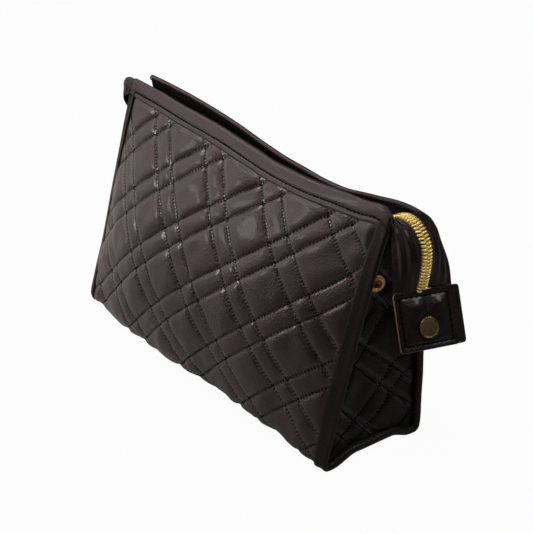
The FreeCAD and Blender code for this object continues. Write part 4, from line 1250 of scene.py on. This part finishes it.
class CASE_OT_tabs(bpy.types.Operator):
    """Two leathers of each tab, sewn round the edge"""

    bl_idname = "case.tabs"
    bl_label = "Tabs"

    def execute(self, context):
        for end in (LEFT, RIGHT):
            self.make(end)
        return {"FINISHED"}

    def place(self, end, layer, u, w, lift):
        """Points of a tab: u across from -1 to 1, w down from 0 to 1, with rounded corners."""
        top, down, across, out = tab_axes(end)
        x = u * TAB_WIDTH / 2
        z = w * TAB_LENGTH - TAB_LENGTH / 2
        inner_x, inner_z = TAB_WIDTH / 2 - TAB_CORNER, TAB_LENGTH / 2 - TAB_CORNER
        over_x = np.maximum(np.abs(x) - inner_x, 0)
        over_z = np.maximum(np.abs(z) - inner_z, 0)
        reach = np.hypot(over_x, over_z)
        share = np.where(reach > 0, np.maximum(over_x, over_z) / np.maximum(reach, 1e-9), 1)
        x = np.sign(x) * (np.minimum(np.abs(x), inner_x) + over_x * share)
        z = np.sign(z) * (np.minimum(np.abs(z), inner_z) + over_z * share)
        if end == LEFT:
            x, lift = wrapped(x, lift)
        else:
            lift = lift - 0.5 * (x / (TAB_WIDTH / 2)) ** 2
            x = x + TAB_SHIFT[end, layer]
        return top + across * x[..., None] + down * (z + TAB_LENGTH / 2)[..., None] + out * lift[..., None]

    def lift(self, u, w):
        """Height of a tab's outer face: its seam, its puff and the two humps above the cap."""
        x = u * TAB_WIDTH / 2
        z = w * TAB_LENGTH
        edge = np.minimum(TAB_WIDTH / 2 - np.abs(x), np.minimum(z, TAB_LENGTH - z))
        seam = np.exp(-((edge - TAB_SEAM) / 0.9) ** 2)
        puff = soft_step(edge, 3, 9)
        snap = np.hypot(x, z - SNAP_DROP)
        valley = np.exp(-((x - 1.5) / 1.8) ** 2) * soft_step(z, 17, 9) * soft_step(z, 1, 5)
        humps = np.exp(-(((np.abs(x - 1.5) - 7.5) / 4.0) ** 2) - ((z - 9) / 5.5) ** 2)
        high = 0.9 * puff - 0.55 * seam - 0.9 * valley + 0.9 * humps * puff
        return high * soft_step(snap, 6.2, 9.5) + 0.15 * soft_step(snap, 8, 6)

    def make(self, end):
        name = END_NAME[end] + "_tab"
        u, w = grid_of(np.linspace(-1, 1, 77), np.linspace(0, 1, 65))
        soft = 0.25 * ripple((u * 19, w * 32, 0), 8, 30 + end)
        outer = self.place(end, "front", u, w, TAB_OUTER + self.lift(u, w) + soft)
        front = slab(name + "_outer", outer, self.place(end, "front", u, w, TAB_MEET + 0 * u))
        u, w, soft = u[::2, ::2], w[::2, ::2], soft[::2, ::2]
        inner = self.place(end, "back", u, w, TAB_INNER - 0.3 * soft)
        back = slab(name + "_inner", self.place(end, "back", u, w, -TAB_MEET + 0 * u), inner)
        for piece, node in ((front, name + "_front"), (back, name + "_back")):
            dress(piece, "facing", [node], name)
            self.bare_edge(piece)
        self.stitch(end, name)

    def bare_edge(self, piece):
        """The cut edge shows the raw leather."""
        piece.data.materials.append(finish_of("edge"))
        count = len(piece.data.vertices) // 2
        for face in piece.data.polygons:
            sides = {vertex >= count for vertex in face.vertices}
            if len(sides) == 2:
                face.material_index = 1

    def stitch(self, end, name):
        """The seam round the edge of a tab."""
        wide, low = TAB_WIDTH / 2 - TAB_SEAM, TAB_LENGTH - TAB_SEAM
        corners = np.array([(-wide, TAB_SEAM), (-wide, low), (wide, low), (wide, TAB_SEAM)])
        ends = []
        for first, second in zip(corners, np.roll(corners, -1, axis=0)):
            count = round(math.dist(first, second) / 3.0)
            t = (np.arange(count)[:, None] + (0.15, 0.85)) / count
            ends.append(first + (second - first) * t[..., None])
        u, w = np.moveaxis(np.concatenate(ends) / (TAB_WIDTH / 2, TAB_LENGTH), -1, 0)
        points = self.place(end, "front", u, w, TAB_OUTER + 0.05 + self.lift(u, w))
        sew(name + "_stitches", points, tab_axes(end)[3], name)


# Radius and height of the turned metal pieces.
CAP_PROFILE = (
    (0.05, 1.25), (2.5, 1.3), (4.4, 1.25), (4.8, 1.18), (5.1, 1.25), (5.45, 1.42), (5.75, 1.38), (5.95, 1.1),
    (6.0, 0.6), (5.9, 0.1), (5.4, 0.0), (0.05, 0.0),
)
SOCKET_PROFILE = (
    (2.75, -0.6), (2.7, 0.4), (2.75, 1.0), (2.95, 1.5), (3.4, 1.75), (3.9, 1.6), (4.25, 1.2), (4.6, 1.0),
    (5.0, 0.85), (5.25, 0.5), (5.2, 0.1), (4.8, -0.1), (4.4, -0.6),
)
POST_PROFILE = (
    (0.05, -0.3), (2.3, -0.35), (2.6, -0.2), (2.68, 0.1), (2.72, 0.2), (3.0, -0.7), (4.2, -0.8), (4.3, -1.3),
    (2.5, -1.4), (0.05, -1.4),
)
CAP_SIDES, SOCKET_SIDES = 64, 48
# Each socket's place from the middle of the outer face of its solid: inwards, across, up.
SOCKET_SHIFT = {LEFT: (2.2, 0.0, 0.0), RIGHT: (3.9, -2.6, 1.9)}
# The right socket is turned a little to the front by the fold that it sits in.
SOCKET_LEAN = {LEFT: 0.0, RIGHT: math.radians(18)}


class CASE_OT_press_studs(bpy.types.Operator):
    """Caps, studs and sockets of the press studs"""

    bl_idname = "case.press_studs"
    bl_label = "Press studs"

    def execute(self, context):
        for end, name in END_NAME.items():
            top, down, across, out = tab_axes(end)
            centre = top + down * SNAP_DROP + across * TAB_SHIFT[end, "front"] + out * TAB_OUTER
            cap = turned(name + "_brass_cap", CAP_PROFILE, centre, out, CAP_SIDES)
            dress(cap, "old_brass", [name + "_snap_cap"], name + "_tab")
        for name, node, profile, finish in (
            ("brass_sockets", "sockets", SOCKET_PROFILE, "brass"),
            # The socket backs take the dark old brass of the caps, which paints shade into the sockets'
            # holes.
            ("socket_backs", "socket_posts", POST_PROFILE, "old_brass"),
        ):
            piece = new_piece(name, *self.turned_pair(profile))
            dress(piece, finish, [node], "base")
        for name in END_NAME.values():
            recoat(name + "_snap_stud", "brass")
        return {"FINISHED"}

    @staticmethod
    def turned_pair(profile):
        """Points and faces of a turned piece at both ends."""
        low, high = (np.array(corner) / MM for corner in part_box("sockets"))
        rings, faces = [], []
        for end in (LEFT, RIGHT):
            inwards, across, up = SOCKET_SHIFT[end]
            outer = high[0] if end == RIGHT else low[0]
            place = np.array([outer - end * inwards, across, (low[2] + high[2]) / 2 + up])
            lean = SOCKET_LEAN[end]
            axis = np.array([end * math.cos(lean), -math.sin(lean), 0.0])
            ring = circle(np.array([-axis[1], axis[0], 0.0]), UP, SOCKET_SIDES)
            start = len(rings) * SOCKET_SIDES
            rings += [place + r * ring + h * axis for r, h in profile]
            grid = quads(len(profile) + 1, SOCKET_SIDES, loop=True) % (len(profile) * SOCKET_SIDES)
            faces += (grid + start)[:, ::-1].tolist()
        return np.concatenate(rings), faces


# Lamps: place, point that each faces, width.
LAMPS = {
    "key": ((-0.76, -0.95, 0.66), (0.02, 0.0, 0.12), 0.35),
    "top": ((-0.9, -0.15, 1.2), (-0.2, 0.0, 0.05), 0.7),
    "side": ((-1.3, -0.6, 0.5), (-0.05, 0.0, 0.05), 1.2),
    "fill": ((0.55, -0.5, 1.35), (0.12, 0.0, 0.12), 0.5),
    "glint": ((0.5, 0.45, 0.95), (0.12, 0.0, 0.12), 0.3),
}
# The floor's half width and height, the share of its white that the camera sees, and the shares of its
# painted warm glow that mirror-like rays see on the left and all over.
FLOOR_HALF, FLOOR_Z = 4.0, -0.0003
FLOOR_CAMERA, FLOOR_MIRROR_LEFT, FLOOR_MIRROR = 0.96, 0.58, 0.03
# Strength of the world for soft light, and what the camera and mirror-like rays see more.
WORLD_SOFT, WORLD_CAMERA, WORLD_MIRROR = 0.02, 0.98, 0.025
# The camera: place, turn, tilt and roll.
CAMERA_PLACE = 0.59424, -0.49556, 0.47655
CAMERA_TURN, CAMERA_TILT, CAMERA_ROLL = (math.radians(angle) for angle in (49.58, 27.77, 3.32))


class CASE_OT_stage(bpy.types.Operator):
    """Pale floor, soft lamps and the camera"""

    bl_idname = "case.stage"
    bl_label = "Stage"

    def execute(self, context):
        scene = context.scene
        stage = scene.case_stage
        scene.view_settings.view_transform = "Standard"
        self.floor(stage)
        self.world(scene)
        for name, (place, target, size) in LAMPS.items():
            self.lamp(name + "_lamp", place, target, size, getattr(stage, name))
        self.camera(scene, stage)
        return {"FINISHED"}

    def seen(self, m):
        """One for rays from the camera, and one for mirror-like rays."""
        camera, glossy, through = (
            m.add("ShaderNodeLightPath", output=name)
            for name in ("Is Camera Ray", "Is Glossy Ray", "Is Transmission Ray")
        )
        return camera, m.math("MAXIMUM", glossy, through)

    def floor(self, stage):
        """A floor that is white to the camera and glows warm pink in reflections, much more on the left: a
        painted reflection.
        """
        mesh = bpy.data.meshes.new("floor")
        corners = [(FLOOR_HALF * x, FLOOR_HALF * y, 0) for x, y in ((-1, -1), (1, -1), (1, 1), (-1, 1))]
        mesh.from_pydata(corners, [], [(0, 1, 2, 3)])
        floor = bpy.data.objects.new("floor", mesh)
        floor.location.z = FLOOR_Z
        bpy.context.scene.collection.objects.link(floor)
        m = Finish(bpy.data.materials.new("pale_floor"))
        speck = m.noise(m.spot(), 60.0, 3.0)
        tint = m.mix(speck, tuple(stage.floor), tuple(min(1.0, c * 1.03) for c in stage.floor))
        m.done(Base_Color=tint, Roughness=0.8)
        camera, mirror = self.seen(m)
        left = m.split(m.spot())[0].fade(-0.25, 0.1)
        # A warm pink glow that only reflections see, most on the left: a painted reflection in the leather.
        painted_reflection_glow, white = (
            m.add("ShaderNodeEmission", None, {"Color": glow, "Strength": 1.0})
            for glow in ((1.0, 0.84, 0.85), (1.0, 1.0, 1.0))
        )
        share = mirror * (left * FLOOR_MIRROR_LEFT + FLOOR_MIRROR)
        mixed = m.add("ShaderNodeMixShader", None, {0: share, 1: Wire(m, m.shader.outputs[0]), 2: painted_reflection_glow})
        mixed = m.add("ShaderNodeMixShader", None, {0: camera * FLOOR_CAMERA, 1: mixed, 2: white})
        m.plug(m.tree.nodes["Material Output"].inputs["Surface"], mixed)
        mesh.materials.append(m.owner)

    def world(self, scene):
        scene.world = bpy.data.worlds.new("studio")
        m = Finish(scene.world)
        camera, mirror = self.seen(m)
        back = m.tree.nodes["Background"]
        m.plug(back.inputs["Color"], (0.985, 0.985, 0.985))
        m.plug(back.inputs["Strength"], WORLD_SOFT + camera * WORLD_CAMERA + mirror * WORLD_MIRROR)

    def lamp(self, name, place, target, size, power):
        data = bpy.data.lights.new(name, "AREA")
        data.shape = "DISK"
        data.size = size
        data.energy = power
        lamp = bpy.data.objects.new(name, data)
        bpy.context.scene.collection.objects.link(lamp)
        lamp.location = place
        lamp.rotation_mode = "QUATERNION"
        lamp.rotation_quaternion = (Vector(target) - Vector(place)).to_track_quat("-Z", "Y")

    def camera(self, scene, stage):
        reach = math.cos(CAMERA_TILT)
        back = Vector((
            math.sin(CAMERA_TURN) * reach, -math.cos(CAMERA_TURN) * reach, math.sin(CAMERA_TILT),
        ))
        level = back.cross(Vector((0, 0, -1))).normalized()
        rise = back.cross(level)
        right = level * math.cos(CAMERA_ROLL) + rise * math.sin(CAMERA_ROLL)
        up = rise * math.cos(CAMERA_ROLL) - level * math.sin(CAMERA_ROLL)
        data = bpy.data.cameras.new("camera")
        data.lens = stage.lens / MM
        data.sensor_width = 36.0
        camera = bpy.data.objects.new("camera", data)
        axes = Matrix((right, up, back)).transposed().to_4x4()
        camera.matrix_world = Matrix.Translation(CAMERA_PLACE) @ axes
        scene.collection.objects.link(camera)
        scene.camera = camera


OPERATORS = (
    CASE_OT_quilted_sides, CASE_OT_bindings, CASE_OT_end_panels, CASE_OT_linings, CASE_OT_zip, CASE_OT_wings,
    CASE_OT_tabs, CASE_OT_press_studs, CASE_OT_stage,
)


class CASE_PT_panel(bpy.types.Panel):
    """Sizes, colours and steps of the case"""

    bl_idname = "CASE_PT_panel"
    bl_label = "Jewellery case"
    bl_space_type = "VIEW_3D"
    bl_region_type = "UI"
    bl_category = "Case"

    def draw(self, context):
        layout = self.layout
        for group in (context.scene.case_shape, context.scene.case_colours, context.scene.case_stage):
            box = layout.box()
            for name in type(group).__annotations__:
                box.prop(group, name)
        for operator in OPERATORS:
            layout.operator(operator.bl_idname)


CLASSES = (CaseShape, CaseColours, CaseStage, *OPERATORS, CASE_PT_panel)
GROUPS = {"case_shape": CaseShape, "case_colours": CaseColours, "case_stage": CaseStage}


def register():
    for item in CLASSES:
        bpy.utils.register_class(item)
    for name, group in GROUPS.items():
        setattr(bpy.types.Scene, name, PointerProperty(type=group))


def unregister():
    for name in GROUPS:
        delattr(bpy.types.Scene, name)
    for item in reversed(CLASSES):
        bpy.utils.unregister_class(item)


def main():
    register()
    for operator in OPERATORS:
        group, name = operator.bl_idname.split(".")
        getattr(getattr(bpy.ops, group), name)()


if __name__ == "__main__":
    main()
